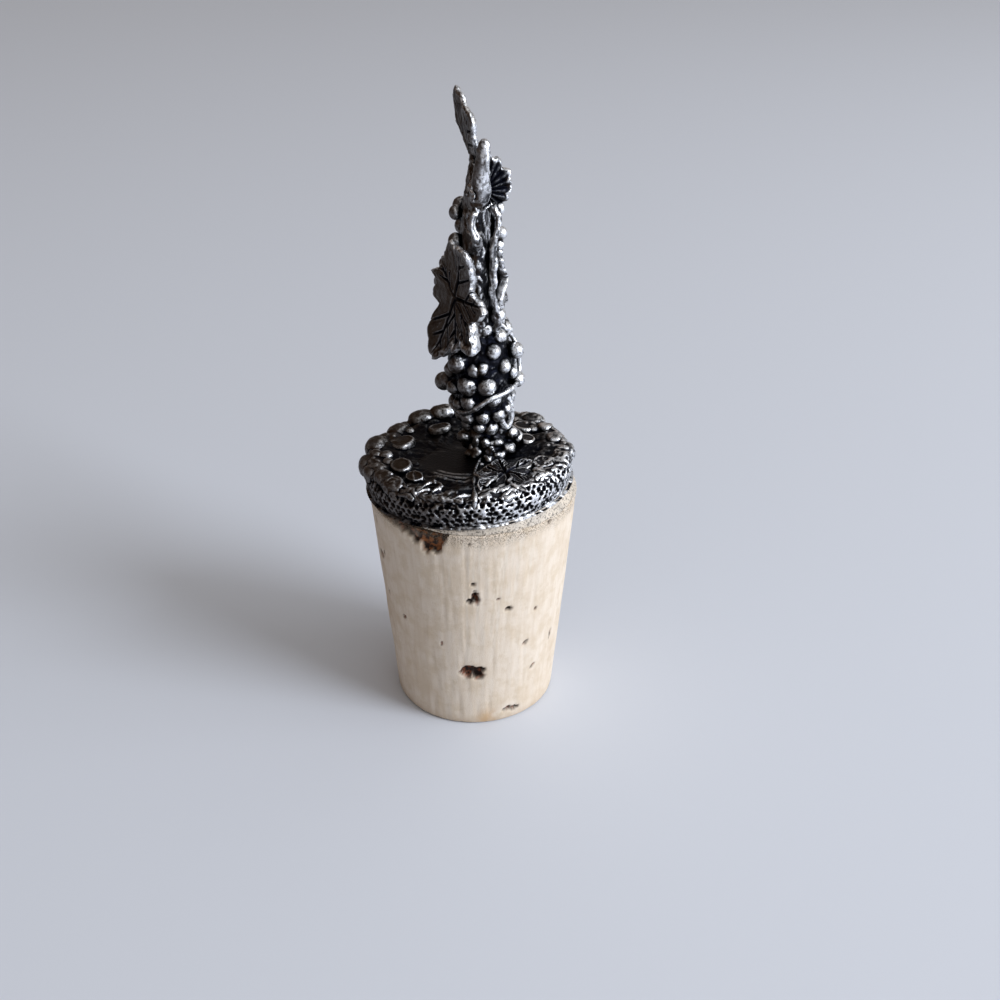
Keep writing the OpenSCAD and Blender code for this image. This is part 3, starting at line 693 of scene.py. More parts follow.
def build_cork(material):
    around = int(420 * FINE)
    angle = np.arange(around) * math.tau / around
    heading = np.degrees((angle + math.pi) % math.tau - math.pi)
    section = cork_section()
    r, z = section[:, :1], section[:, 1:]
    out_r, out_z = outward(section)
    rings = triples(r * np.sin(angle), -r * np.cos(angle), z)
    pit, depth = pore_relief(rings, angle, smoothstep(out_r, 0.3, 0.9))
    # The torn chip at the wide end
    tear = np.interp(heading, *np.array(CHIP).T)
    low = CORK_LEN - tear * (1 + 0.3 * noise(rings, 0.7, 5)) + 0.3 * noise(rings, 0.35, 6)
    torn = smoothstep(z - low, -0.05, 0.1) * (tear > 0.05)
    # The top of the chip's left part, under the casting's edge, takes the dark bark colour: torn bark, and
    # painted shade where the cap overhangs it
    pit = np.maximum(pit, 0.85 * torn * smoothstep(heading, -29, -34) * (z > CORK_LEN - 1.4))
    depth = np.maximum(depth, torn * (0.55 + 0.25 * noise(rings, 0.5, 7) + 0.12 * noise(rings, 0.2, 8)))
    # Pores in the small end, a slight waviness, and the open cells of the bark
    spots = noise(rings, 0.9, 31) + 0.4 * noise(rings, 0.35, 32)
    end_pit = smoothstep(spots, 0.62, 0.85) * smoothstep(-out_z, 0.5, 0.95)
    depth = np.maximum(depth, end_pit * 0.4)
    pit = np.maximum(pit, end_pit)
    grain = noise(rings, (0.5, 0.5, 3.5), 41)
    depth = depth + 0.03 * (1 + grain) + 0.04 * (1 + noise(rings, 4, 42)) + 0.02 * smoothstep(grain, 0.4, 0.8)
    scratch, stain = np.zeros(rings.shape[:2]), np.zeros(rings.shape[:2])
    for d0, z0, d1, z1 in SCRATCHES:
        line = d0 + (d1 - d0) * (z - z0) / (z1 - z0)
        span = smoothstep(z, z1 - 0.5, z1 + 1) * smoothstep(z, z0 + 0.5, z0 - 0.5)
        scratch = np.maximum(scratch, 0.45 * smoothstep(np.abs(heading - line), 0.7, 0.2) * span)
        depth = depth + 0.05 * smoothstep(np.abs(heading - line + 0.9), 0.8, 0.3) * span
    for direction, height, reach in STAINS:
        across = ((heading - direction + 180) % 360 - 180) * math.pi / 180 * r
        away = np.hypot(across, z - height) / reach + 0.4 * noise(rings, 0.7, 51)
        stain = np.maximum(stain, 0.5 * smoothstep(away, 1, 0.2))
    rings = rings - triples(out_r * np.sin(angle), -out_r * np.cos(angle), out_z) * depth[..., None]
    cork = solid("natural_cork", np.concatenate([rings, np.array(cork_wide_end(angle))]),
                 pit=pit, torn=torn * (1 - pit), stain=stain, scratch=scratch)
    cork.data.materials.append(material)
    return cork


# ---- adhesive ---------------------------------------------------------------------------------------


def build_cement(material):
    """The wedge of cement between cork and casting, squeezed out as an uneven fillet round its edge."""
    around = int(620 * FINE)
    angle = np.arange(around) * math.tau / around
    slope = math.tan(math.radians(CAP_LEAN))
    # It starts a hair inside the cork's face, and is never thinner than a film
    sunk, film = 0.03, 0.06
    base = np.stack([np.cos(angle), np.sin(angle)], axis=-1)
    squeezed = smoothstep(base[:, 0], -0.75, -0.1)[:, None]
    rows = []
    for height in np.linspace(0, 1, int(18 * FINE)):
        bulge = 0.42 * (1 - height) ** 1.6 + 0.1 * math.sin(math.pi * height)
        xy = base * (CAP_FOOT_R - 0.25 + squeezed * (0.25 + bulge))
        xy[:, 0] -= CAP_SHIFT * height
        thick = np.maximum(CAP_LIFT + (xy[:, 0] + CAP_SHIFT) * slope, film)
        # The squeezed-out cement creeps a little up the cap's wall
        creep = 0.16 * squeezed[:, 0]
        rows.append(np.column_stack([xy, CORK_LEN - sunk + (thick + creep) * height]))
    rows = np.array(rows)
    lumps = 0.09 * noise(rows, (1.6, 1.6, 0.9), 61) + 0.05 * noise(rows, 0.4, 62)
    rows[..., :2] *= (1 + (lumps - 0.06) / CAP_FOOT_R)[..., None]
    bore = base * (BORE_R + 0.3) - [CAP_SHIFT, 0]
    under = CORK_LEN + CAP_LIFT + (bore[:, 0] + CAP_SHIFT) * slope
    inner = [np.column_stack([bore, np.full(around, CORK_LEN - sunk)]), np.column_stack([bore, under])]
    rings = np.concatenate([inner[:1], rows, inner[1:]])
    # The rings close on the first one, because the cement is a ring itself
    j = np.arange(around)
    n = (j + 1) % around
    faces = []
    for i in range(len(rings)):
        k = (i + 1) % len(rings)
        faces += np.column_stack([i * around + j, i * around + n, k * around + n, k * around + j]).tolist()
    cement = new_object("cement_bead", rings.reshape(-1, 3), faces)
    cement.data.materials.append(material)
    return cement


# ---- casting: beads, shoots and leaves --------------------------------------------------------------


def beads(name, tree, rows, matrix, roundness=4, squareness=2.0):
    """Round beads from rows of [place, widths, turn in degrees], in the given frame."""
    base = matrix.to_quaternion().to_matrix()
    turns = [(base @ Euler([math.radians(a) for a in row[2]]).to_matrix()).to_euler() for row in rows]
    cloud = new_object(name, placed([row[0] for row in rows], matrix),
                       widths=np.array([row[1] for row in rows], float), turns=np.array(turns, float))
    return grow(cloud, tree, roundness=roundness, squareness=squareness)


def shoots(name, tree, paths, matrix, section=14, step=SHOOT_STEP):
    """Round rods along smooth paths of [x, y, z, width] knots, in the given frame."""
    knots = np.array([k for path in paths for k in path], float)
    edges, start = [], 0
    for path in paths:
        edges += [(start + i, start + i + 1) for i in range(len(path) - 1)]
        start += len(path)
    cage = new_object(name, placed(knots[:, :3], matrix), edges=edges, width=knots[:, 3])
    return grow(cage, tree, section=section, step=step / FINE)


def lobe_reach(degrees, lobes, waist, lobe_w):
    """Reach of a palmate leaf in a direction, as a share of its longest lobe."""
    away = apart(degrees[:, None], lobes[:, 0])
    return np.maximum(waist, (lobes[:, 1] * (1 - (away / lobe_w) ** 1.4)).max(axis=1))


def leaf_veins(reach, lobes):
    """Vein segments [x0, z0, x1, z1, half width]: a midrib to each lobe, and pairs of side veins."""
    veins = []
    for direction, share in lobes:
        a = math.radians(direction)
        tip = np.array([math.sin(a), math.cos(a)]) * reach * share * 0.95
        veins.append([0, 0, *tip, 0.2])
        for along, side in ((0.3, 1), (0.45, -1), (0.62, 1), (0.76, -1)):
            b = a + math.radians(38 * side)
            start = tip * along
            end = start + np.array([math.sin(b), math.cos(b)]) * reach * share * 0.6 * (1 - along)
            veins.append([*start, *end, 0.14])
    return np.array(veins)


def vein_distance(x, z, veins):
    """Distance of points from the nearest vein, in half widths of that vein."""
    away = np.full(x.shape, 9.0)
    for x0, z0, x1, z1, half in veins:
        along = ((x - x0) * (x1 - x0) + (z - z0) * (z1 - z0)) / ((x1 - x0) ** 2 + (z1 - z0) ** 2)
        t = np.clip(along, 0, 1)
        gap = np.hypot(x - x0 - t * (x1 - x0), z - z0 - t * (z1 - z0)) / (half * (1 - 0.4 * t))
        away = np.minimum(away, gap)
    return away


def leaf_relief(x, z, away, seed):
    """Engraved veins between raised lips, tissue that swells between them, and its fine fibres."""
    flat = triples(x, 0.0, z)
    relief = -0.26 * np.exp(-(away / 0.7) ** 2) + 0.12 * np.exp(-((away - 1.6) / 0.5) ** 2)
    relief = relief + 0.10 * smoothstep(away, 2.5, 6) + 0.05 * noise(flat, 0.5, 71 + seed)
    fibres = noise(triples(x - 0.7 * z, 0.0, 0.25 * (z + 0.7 * x)), 0.22, 75 + seed)
    return relief + 0.07 * (0.4 + 0.6 * smoothstep(z, 0.5, 2.5)) * fibres


def build_leaf(name, matrix, reach, lobes, waist=0.5, cup=0.0, thickness=LEAF_T, teeth=26, seed=0,
               around=420, steps=60, lobe_w=62, ribs=None, pleats=0, rolled=None):
    """A vine leaf round its stalk point: it spreads in X and Z and its veined face looks along -Y.

    Its lobes are [direction, share of the reach], and ribs are like them where the veins go elsewhere. A rim
    can be rolled over: [middle direction, half angle].
    """
    around, steps = int(around * FINE), int(steps * FINE)
    lobes, ribs = np.array(lobes, float), np.array(ribs or lobes, float)
    degrees = np.arange(around) * 360 / around
    a = np.radians(degrees)
    saw = (degrees * teeth / 360 + 0.4 * np.sin(3 * a + seed)) % 1
    tooth = np.where(saw < 0.7, saw / 0.7, (1 - saw) / 0.3)
    if pleats:
        tooth = np.abs(np.sin(pleats * a / 2)) ** 0.7
    reach_at = reach * lobe_reach(degrees, lobes, waist, lobe_w) * (0.95 + 0.055 * tooth)
    share = (np.linspace(0.02, 1, steps) ** 0.85)[:, None]
    share[-1] = 1
    r = share * reach_at
    x, z = r * np.sin(a), r * np.cos(a)
    relief = leaf_relief(x, z, vein_distance(x, z, leaf_veins(reach, ribs)), seed)
    if pleats:
        relief = 0.34 * np.abs(np.sin(pleats * a / 2)) ** 0.6 * np.minimum(share * 2, 1) - 0.2
        relief = relief + 0.04 * noise(triples(x, 0.0, z), 0.4, 71 + seed)
    rim = smoothstep(share, 0.86, 0.95)
    relief = relief * (1 - 0.6 * rim) + 0.10 * rim
    roll = np.zeros_like(x)
    if rolled:
        # The rolled stretch is rough and worn bright
        middle, half = rolled
        roll = smoothstep(share, 0.84, 0.9) * smoothstep(np.abs(degrees - middle), half, half - 12)
        relief = relief + roll * (0.28 + 0.2 * noise(triples(x, 0.0, z), 0.55, 87 + seed))

    def ripple(s):
        return 0.28 * s ** 3 * np.sin(4 * a + seed) + 0.12 * s ** 2 * np.sin(9 * a)

    face = triples(x, ripple(share) - relief - cup * r ** 2, z)
    t = np.linspace(0, 1, int(8 * FINE) + 2)[1:-1, None]
    out = 0.99 + 0.24 / reach * np.sin(math.pi * t)
    wall = triples(x[-1] * out, face[-1, :, 1] + thickness * t, z[-1] * out)
    rough = 0.07 * noise(wall, 0.3, 81 + seed)
    wall = wall + triples(rough * np.sin(a), 0.0, rough * np.cos(a))
    s = np.linspace(0.97, 0.03, int(20 * FINE))[:, None]
    r = s * reach_at
    back = triples(r * np.sin(a), thickness - cup * r ** 2 + ripple(s), r * np.cos(a))
    back[..., 1] += 0.08 * noise(back, 0.6, 83 + seed)
    worn = np.zeros((len(face) + len(wall) + 1, around))
    worn[:len(face)] = roll * smoothstep(noise(face, 0.5, 88 + seed), -0.3, 0.1)
    # The edge is worn bright in stretches, and a pleated leaf stays black over its face inside the rim
    worn[len(face) - 2:] = smoothstep(noise(triples(x[-1], 0.0, z[-1]), 0.9, 85 + seed), -0.55, -0.2)
    dark = 0.9 * bool(pleats) * smoothstep(share, 0.96, 0.82)
    return solid(name, np.concatenate([face, wall, back]), matrix, polish=worn, ground=dark)


# ---- casting: cap -----------------------------------------------------------------------------------

# Lumps on the cap's rim: [direction, distance in from the rim, drop below the rim, width]
LUMPS = [
    [165, 0.9, 0.5, 3], [-178, 0.6, 1.2, 2.9], [143, 1.4, 0.5, 2.6], [134, 0.7, 0.8, 2], [122, 1.1, 0.3, 3],
    [108, 1.4, 0, 2.8], [92, 1.2, 0.4, 3.2], [76, 1.2, 0.6, 3], [60, 1.6, 1, 2.8], [46, 1, 0.8, 3],
    [30, 1.3, 1, 2.4], [13, 1.7, 0.4, 2.2], [2, 0.8, 1, 2.6], [-12, 1.2, 0.8, 2.8], [-38, 1.7, 0.9, 2.2],
    [-52, 1.8, 0.8, 2.2], [-65, 0.9, 0.4, 1.9], [-80, 1.4, 0.9, 2], [-96, 1.2, 0.8, 2.2],
    [-111, 1.8, 0.6, 2.7], [-124, 1.2, 0.9, 2], [-137, 1.2, 0.5, 2.6], [-151, 1.4, 0.6, 2.5],
    [-164, 0.8, 0.9, 2.4]]
# Flat discs inside the rim: [direction, distance from the cap's middle, width]
DISCS = [
    [158, 8.2, 3.1], [-160, 7.9, 2.8], [-23, 9.2, 2.6], [42, 8.6, 2.6], [84, 7.6, 2.6], [118, 7.4, 2.6],
    [-136, 8, 2.2], [20, 7.2, 2.2]]
# Strokes in the relief of the near rim: [x, y, height above the rim, width] along each
STROKES = [
    # The hook
    [[-5.4, -9.7, -0.2, 0.5], [-4.7, -8.3, 0, 0.55], [-3.6, -7.6, 0.1, 0.6], [-2.8, -8.1, 0.05, 0.55],
     [-2.9, -9, 0, 0.5], [-3.7, -9.5, -0.1, 0.45]],
    # The smooth lip beside it
    [[-5, -9.9, -0.3, 0.5], [-3.6, -10.7, -0.2, 0.7], [-2, -11.2, -0.15, 0.75], [-0.2, -11.5, -0.2, 0.6]],
    # The folded peak
    [[3.2, -10.3, -0.2, 0.5], [4.2, -9.8, 0.05, 0.6], [4.9, -9.3, 0.2, 0.55], [5.7, -9.7, 0, 0.6],
     [6.6, -9.9, -0.2, 0.5]],
    [[4.9, -9.3, 0.2, 0.5], [4.6, -8, 0, 0.5], [5, -6.9, -0.2, 0.4]],
    # Torn edges further round
    [[-8.6, -7.4, -0.1, 0.6], [-7.8, -7, 0.1, 0.8], [-7, -7.5, 0, 0.6], [-6.4, -8.6, -0.2, 0.5]],
    [[-9.8, -5.6, -0.1, 0.5], [-9.1, -4.9, 0.1, 0.8], [-8.2, -5.4, 0, 0.6]],
    [[-7.4, -9, -0.5, 0.5], [-6.2, -9.6, -0.3, 0.6], [-5.6, -10.3, -0.5, 0.5]],
    [[7.4, -7.9, -0.2, 0.5], [8.2, -7, 0, 0.6], [9.4, -6.6, -0.1, 0.5]],
    [[2, -8.4, -0.3, 0.45], [2.9, -7.4, -0.1, 0.5], [3.4, -6.2, -0.1, 0.4], [3, -5, -0.3, 0.35]]]
# The mould's parting ridge, from the bunch's foot over the rim and down the wall, like a stroke
RIDGE = [[2, 0, -0.5, 0.5], [1.1, -2.5, -0.66, 0.45], [0.8, -5, -0.58, 0.35], [0.8, -7, -0.42, 0.35],
         [0.9, -9.6, -0.25, 0.4], [1, -11, -0.05, 0.7], [0.9, -11.55, -1, 0.5], [0.8, -11.3, -2, 0.4]]
# The cap's half section from foot to middle, as [radius, height]
CAP_SECTION = [
    [3, 0], [11.3, 0], [11.5, 0.12], [11.74, 0.9], [11.9, 2.16], [11.62, 3.1], [11.1, 3.52], [10.4, 3.58],
    [9.4, 3.44], [8.2, 3.26], [6.4, 3.1], [4.2, 2.92], [2, 2.9], [0.3, 2.9]]
# The raised arcs in the dish: [radius, height]
ARCS = [[4.75, 0.13], [5.5, 0.16], [6.3, 0.14]]
# Direction of the middle of the rim's torn stretch
TORN_SIDE = -72
# The wall's pits: rows of round pits, with their spacing along a row and between rows
PITS = dict(radius=CAP_RIM_R - 0.15, spacing=0.76, row_pitch=0.58, rows=7, first_row=0.45, pit_radius=0.335,
            depth=0.32, pull=0.5, seed=3)


def round_cap(direction, distance, z):
    """A place on the cap, in a direction and at a distance from its middle."""
    a = math.radians(direction)
    return (distance * math.cos(a), distance * math.sin(a), z)


def smooth_section(corners):
    """Points on a smooth curve through the corners of the cap's section, closest on its wall and rim."""
    pieces = [corners[:1]]
    for k in range(len(corners) - 1):
        a, b = corners[k], corners[k + 1]
        before, after = corners[max(k - 1, 0)], corners[min(k + 2, len(corners) - 1)]
        pitch = 2.0 if k == 0 else (0.09 if b[0] > 10 else 0.13 if b[0] > 4 else 0.6)
        n = max(int(np.linalg.norm(b - a) / pitch * FINE), 1)
        t = (np.arange(1, n + 1) / n)[:, None]
        if k == 0:
            # The foot is flat
            pieces.append(a + (b - a) * t)
            continue
        pieces.append(0.5 * (2 * a + (b - before) * t + (2 * before - 5 * a + 4 * b - after) * t ** 2
                             + (3 * a - before - 3 * b + after) * t ** 3))
    return np.concatenate(pieces)


def build_drum(tree, material):
    """The cap: its pitted wall, its rim and the dished top with its rings and hammered ground."""
    around = int(720 * FINE)
    angle = np.arange(around) * math.tau / around
    degrees = np.degrees((angle + math.pi) % math.tau - math.pi)
    section = smooth_section(np.array(CAP_SECTION, float))
    out_r, out_z = outward(section)
    r, z = section[:, :1], section[:, 1:]
    x, y = r * np.cos(angle), r * np.sin(angle)
    rings = triples(x, y, z)
    top = smoothstep(out_z, 0.5, 0.9)
    # Hammered ground between the lumps, fading out in the smooth dish in the middle
    dish = smoothstep(np.hypot(x + 1.2, y + 1.6), 4.4, 3.6)
    ground = 0.26 * noise(rings, 1.3, 3) + 0.14 * noise(rings, 0.55, 4) + 0.06 * noise(rings, 0.28, 5)
    rise = top * (1 - dish) * (ground - 0.05)
    # Torn, leafy relief along the near side of the rim, where it has no berries
    ragged = smoothstep(apart(degrees, TORN_SIDE), 78, 55) * smoothstep(r, 7.6, 9.4) * smoothstep(z, 2.5, 3.1)
    fold = triples(x + 0.5 * z, y - 0.5 * x, z)
    rise = rise + ragged * (0.4 * crests(fold, (1.9, 1.2, 1.4), 14) + 0.1 * crests(fold, 0.7, 15) - 0.18)
    window = smoothstep(apart(degrees, -110), 27, 20)
    arcs = 0.0
    for arc_r, height in ARCS:
        line = window * np.exp(-((r - arc_r) / 0.13) ** 2)
        rise = rise + top * height * line
        arcs = np.maximum(arcs, line)
    rise = rise + smoothstep(out_r, 0.5, 0.9) * 0.07 * noise(rings, 1.1, 6)
    # The pits cover the wall, and on the near right they run up over the shoulder
    pitted = smoothstep(z, 0.12, 0.4) * smoothstep(out_r, -0.1, 0.35)
    shoulder = smoothstep(r, 9.6 + 0.9 * noise(rings, 1.2, 9), 10.4) * (z > 3)
    pitted = np.maximum(pitted, smoothstep(apart(degrees, -40), 50, 25) * shoulder) * (out_z > -0.5)
    ground = top * smoothstep(r + 0.5 * noise(rings, 1.5, 8), 10.4, 9.2) * (1 - arcs)
    normal = triples(out_r * np.cos(angle), out_r * np.sin(angle), out_z)
    drum = solid("cap_drum", rings + normal * rise[..., None], pitted=pitted, ground=ground,
                 polish=0.7 * top * arcs)
    grow(drum, tree, material=material, **PITS)
    drum.data.transform(CASTING)
    return drum


def ringed_disc(direction, distance, width):
    """A flat round boss with a raised lip, turned to face outwards a little."""
    profile = [[0.05, 0.3], [0.45, 0.27], [0.66, 0.25], [0.78, 0.36], [0.88, 0.38], [0.97, 0.28],
               [1.02, 0.05], [1.06, -0.5], [0.05, -0.5]]
    angle = np.arange(40) * math.tau / 40
    rings = np.array([triples(r * width / 2 * 1.08 * np.sin(angle), r * width / 2 * 0.85 * np.cos(angle), h)
                      for r, h in profile])
    matrix = CASTING @ turn("Z", direction) @ move(distance, 0, CAP_H - 0.3) @ turn("Y", 8)
    return solid("ringed_disc", rings, matrix @ turn("Z", 90))


def build_peg():
    """The plain peg under the cap, with four barbs, hidden in the cork."""
    section = [[PEG_R, 1.2]]
    for barb in (1, 3.5, 6, 8.5):
        section += [[PEG_R, -barb], [PEG_R + 0.4, -barb - 0.1], [PEG_R, -barb - 2]]
    section.append([PEG_R - 0.6, -PEG_LEN])
    return solid("peg", np.array([oval(r, r, z, 48) for r, z in section]), CASTING)


def build_rim(bead, shoot):
    """Round berries and lumps crowded on the cap's rim, with smaller ones between, and the mould's ridge."""
    rows = []
    for d, inset, drop, w in LUMPS:
        # They lie lower and flatter along the near side
        near = -130 < d < -45
        rows.append([round_cap(d, CAP_RIM_R - inset, CAP_H - drop - (0.25 if near else 0)),
                     (0.85 * w, 1.1 * w, (0.5 if near else 0.75) * w), (0, 0, d)])
    chance = random.Random(8)
    for _ in range(46):
        d, inset, w = chance.uniform(0, 360), chance.uniform(0.9, 3.4), chance.uniform(0.7, 1.5)
        if apart(d, -90) < 50:
            continue
        rows.append([round_cap(d, CAP_RIM_R - inset, CAP_H - 0.1 - 0.12 * inset), (w, 1.2 * w, 0.8 * w),
                     (0, 0, chance.uniform(0, 180))])
    lumps = beads("rim_lumps", bead, rows, CASTING, squareness=2.7)
    ridge = shoots("ridge", shoot, [[[x, y, CAP_H + h, w] for x, y, h, w in RIDGE]], CASTING)
    strokes = [[[x, y, CAP_H + h, w] for x, y, h, w in path] for path in STROKES]
    discs = [ringed_disc(*d) for d in DISCS]
    rim = fuse("rim_berries", [lumps, ridge, shoots("strokes", shoot, strokes, CASTING)] + discs)
    p = placed(points_of(rim), CASTING.inverted())
    degrees = np.degrees(np.arctan2(p[:, 1], p[:, 0]))
    ragged = smoothstep(apart(degrees, TORN_SIDE), 80, 60)
    ragged = ragged * (0.45 + 0.55 * smoothstep(np.abs(p[:, 0] - 0.9), 0.3, 0.6))
    torn = 0.16 * crests(p, 1.2, 18) + 0.08 * noise(p, 0.35, 19) - 0.08
    push(rim, 0.05 * noise(p, 0.5, 17) + ragged * torn)
    return rim


# ---- casting: bunch, vine and their berries ---------------------------------------------------------

# Grapes on the bunch's near side: [direction, share of its height, width]
GRAPES = [
    [22, 0.88, 1.5], [88, 0.82, 2], [30, 0.75, 1.7], [93, 0.69, 1.5], [47, 0.64, 1.6], [5, 0.66, 1.3],
    [-9, 0.65, 1.5], [-40, 0.68, 2.3], [-84, 0.5, 2.1], [-23, 0.55, 2.3], [-57, 0.5, 1.8], [11, 0.54, 2.1],
    [90, 0.49, 1.3], [-80, 0.36, 1.8], [-24, 0.42, 2], [-76, 0.27, 1.6], [-55, 0.21, 1.6], [-70, 0.13, 1.7],
    [-28, 0.15, 1.8], [70, 0.15, 2.2], [23, 0.2, 1.8], [32, 0.06, 2], [65, 0.04, 1.8], [-45, 0.05, 1.9],
    [60, 0.32, 1.6], [0, 0.31, 1.6], [70, 0.56, 1.6], [-62, 0.8, 1.8], [-15, 0.8, 1.8], [55, 0.82, 1.7],
    [24, 0.44, 1.7], [-38, 0.3, 1.8], [2, 0.1, 1.6], [38, 0.3, 1.6], [-12, 0.22, 1.5], [0, 0.03, 1.8],
    [-75, 0.04, 1.8], [90, 0.07, 1.8], [-52, 0.38, 1.7], [-60, 0.62, 1.7]]
# Grapes low on the near side and the right, over the bunch's foot: [x, y, height, width]
LOW_GRAPES = [
    [2.6, -1.6, 0.5, 1.9], [3.3, 0.2, 1.2, 2], [1.6, -2.8, 0.3, 1.5], [2.9, -0.6, 2, 1.9],
    [0.4, -3.3, 0.1, 1.3], [-0.6, -4.2, -0.3, 1], [1.2, -4, -0.2, 1.1], [-2.3, -1.6, 2.3, 1.6]]
# The bunch's foot: [half width as a share of the bunch's width, height]
BUNCH_FOOT = [[0.33, -0.6], [0.29, 0.3], [0.24, 1.2], [0.225, 2.2]]
# The tendril's way round the bunch: [direction, share of its height]
TENDRIL = [[24, 0.95], [70, 0.87], [88, 0.77], [91, 0.66], [90, 0.56], [74, 0.49], [42, 0.485], [12, 0.465],
           [-10, 0.4], [-34, 0.35], [-58, 0.345], [-80, 0.35]]
# Berries on the vine: [x, y, share of the stem's height, width]
BERRIES = [
    [-1.5, -1, 0.58, 1.5], [-1.7, -1, 0.41, 1.7], [-3, 0, 0.26, 1.5], [-3.7, 0, 0.15, 1.5],
    [-3.3, 0, 0.02, 1.5], [-2.6, 0.2, -0.06, 1.7], [-2.4, 0.3, 0.21, 2.4], [-2.2, 0.4, 0.05, 2.6],
    [3.1, -3.6, 0.49, 1.4], [2.8, -3.6, 0.42, 1.3], [3, -4.6, 0.65, 1.4], [-1.5, 1.4, -0.06, 2.2],
    [-1.5, 3.4, -0.02, 2.1], [-0.9, 5.2, 0.08, 1.9], [-1, 1.6, 0.58, 1.9], [-1.2, 3.2, 0.53, 1.8],
    [2, 3.6, 0.5, 2], [2.1, 5, 0.34, 1.9], [1.7, 6, 0.16, 1.8], [1.9, 4.2, -0.04, 2.1],
    [2, 2, -0.1, 2.2], [1.9, -0.4, -0.12, 2.2], [1.9, 1.6, 0.6, 1.9], [2, -1, 0.62, 1.8],
    [-1, 2, 0.45, 1.8], [2.2, -2, -0.04, 2], [-1.8, 1.8, 0.08, 2.2], [-2, 2.1, 0.22, 2],
    [4, -0.8, -0.3, 1.9], [4, -0.8, -0.49, 1.8], [-4.2, 0, -0.5, 2.1]]
# The vine: [x, y, share of the stem's height, share of the stem's width, share of the bunch's breadth]
VINE = [
    [0.2, 0.2, -0.3, 0.7, 0.6], [0.2, 0.4, -0.12, 0.78, 0.86], [0.2, 0.8, 0.06, 0.76, 1.1],
    [0.25, 1, 0.24, 0.74, 1.22], [0.4, 0.7, 0.42, 0.7, 1.2], [0.55, -0.3, 0.58, 0.62, 1],
    [0.75, -1.6, 0.72, 0.5, 0.76], [0.95, -1.8, 0.87, 0.3, 0.46], [0.8, -1.5, 0.96, 0.2, 0.26]]

# The stump and the shoots: [x, y, share of the stem's height, width]
STUMP = [[0.5, -2, 0.68, 2.2], [1, -5.4, 0.7, 2], [1.35, -6.2, 0.78, 2.1], [1.7, -6.6, 0.9, 1.8],
         [2, -6.8, 1.03, 1.3]]
SHOOTS = [
    # Down the right of the near edge
    [[1.5, -4.6, 0.72, 1.2], [3, -6, 0.62, 1], [2.2, -6.4, 0.44, 1.1], [2.3, -6.4, 0.36, 1],
     [2, -6.4, 0.18, 1], [2.4, -5.6, 0.02, 1], [2, -3.4, -0.1, 1.1]],
    # Twisted, up the middle of the near edge
    [[0.9, -6.2, 0.7, 1.1], [0.2, -6.5, 0.6, 1], [0.7, -6.3, 0.5, 1.1], [0.4, -4, 0.42, 1.6]],
    # Up the far edge
    [[0.4, 2.4, 0.76, 1.2], [0.4, 4.9, 0.56, 1.2], [0.3, 6.6, 0.3, 1.2], [0.2, 5.8, 0.04, 1.2],
     [0.2, 3.2, -0.14, 1.4]]]


def bunch_fullness(share):
    return np.sin(math.pi * np.asarray(share) ** 1.3) ** 0.6


def on_bunch(direction, share, out=1.0):
    reach = bunch_fullness(share) * out
    a = math.radians(direction)
    return [BUNCH_W / 2 * reach * math.sin(a), -BUNCH_L / 2 * reach * math.cos(a),
            BUNCH_BASE_Z + share * BUNCH_H]


def up_stem(path):
    """Knots of a shoot, with their shares of the stem's height as heights."""
    return [[x, y, stem_z(share), w] for x, y, share, w in path]


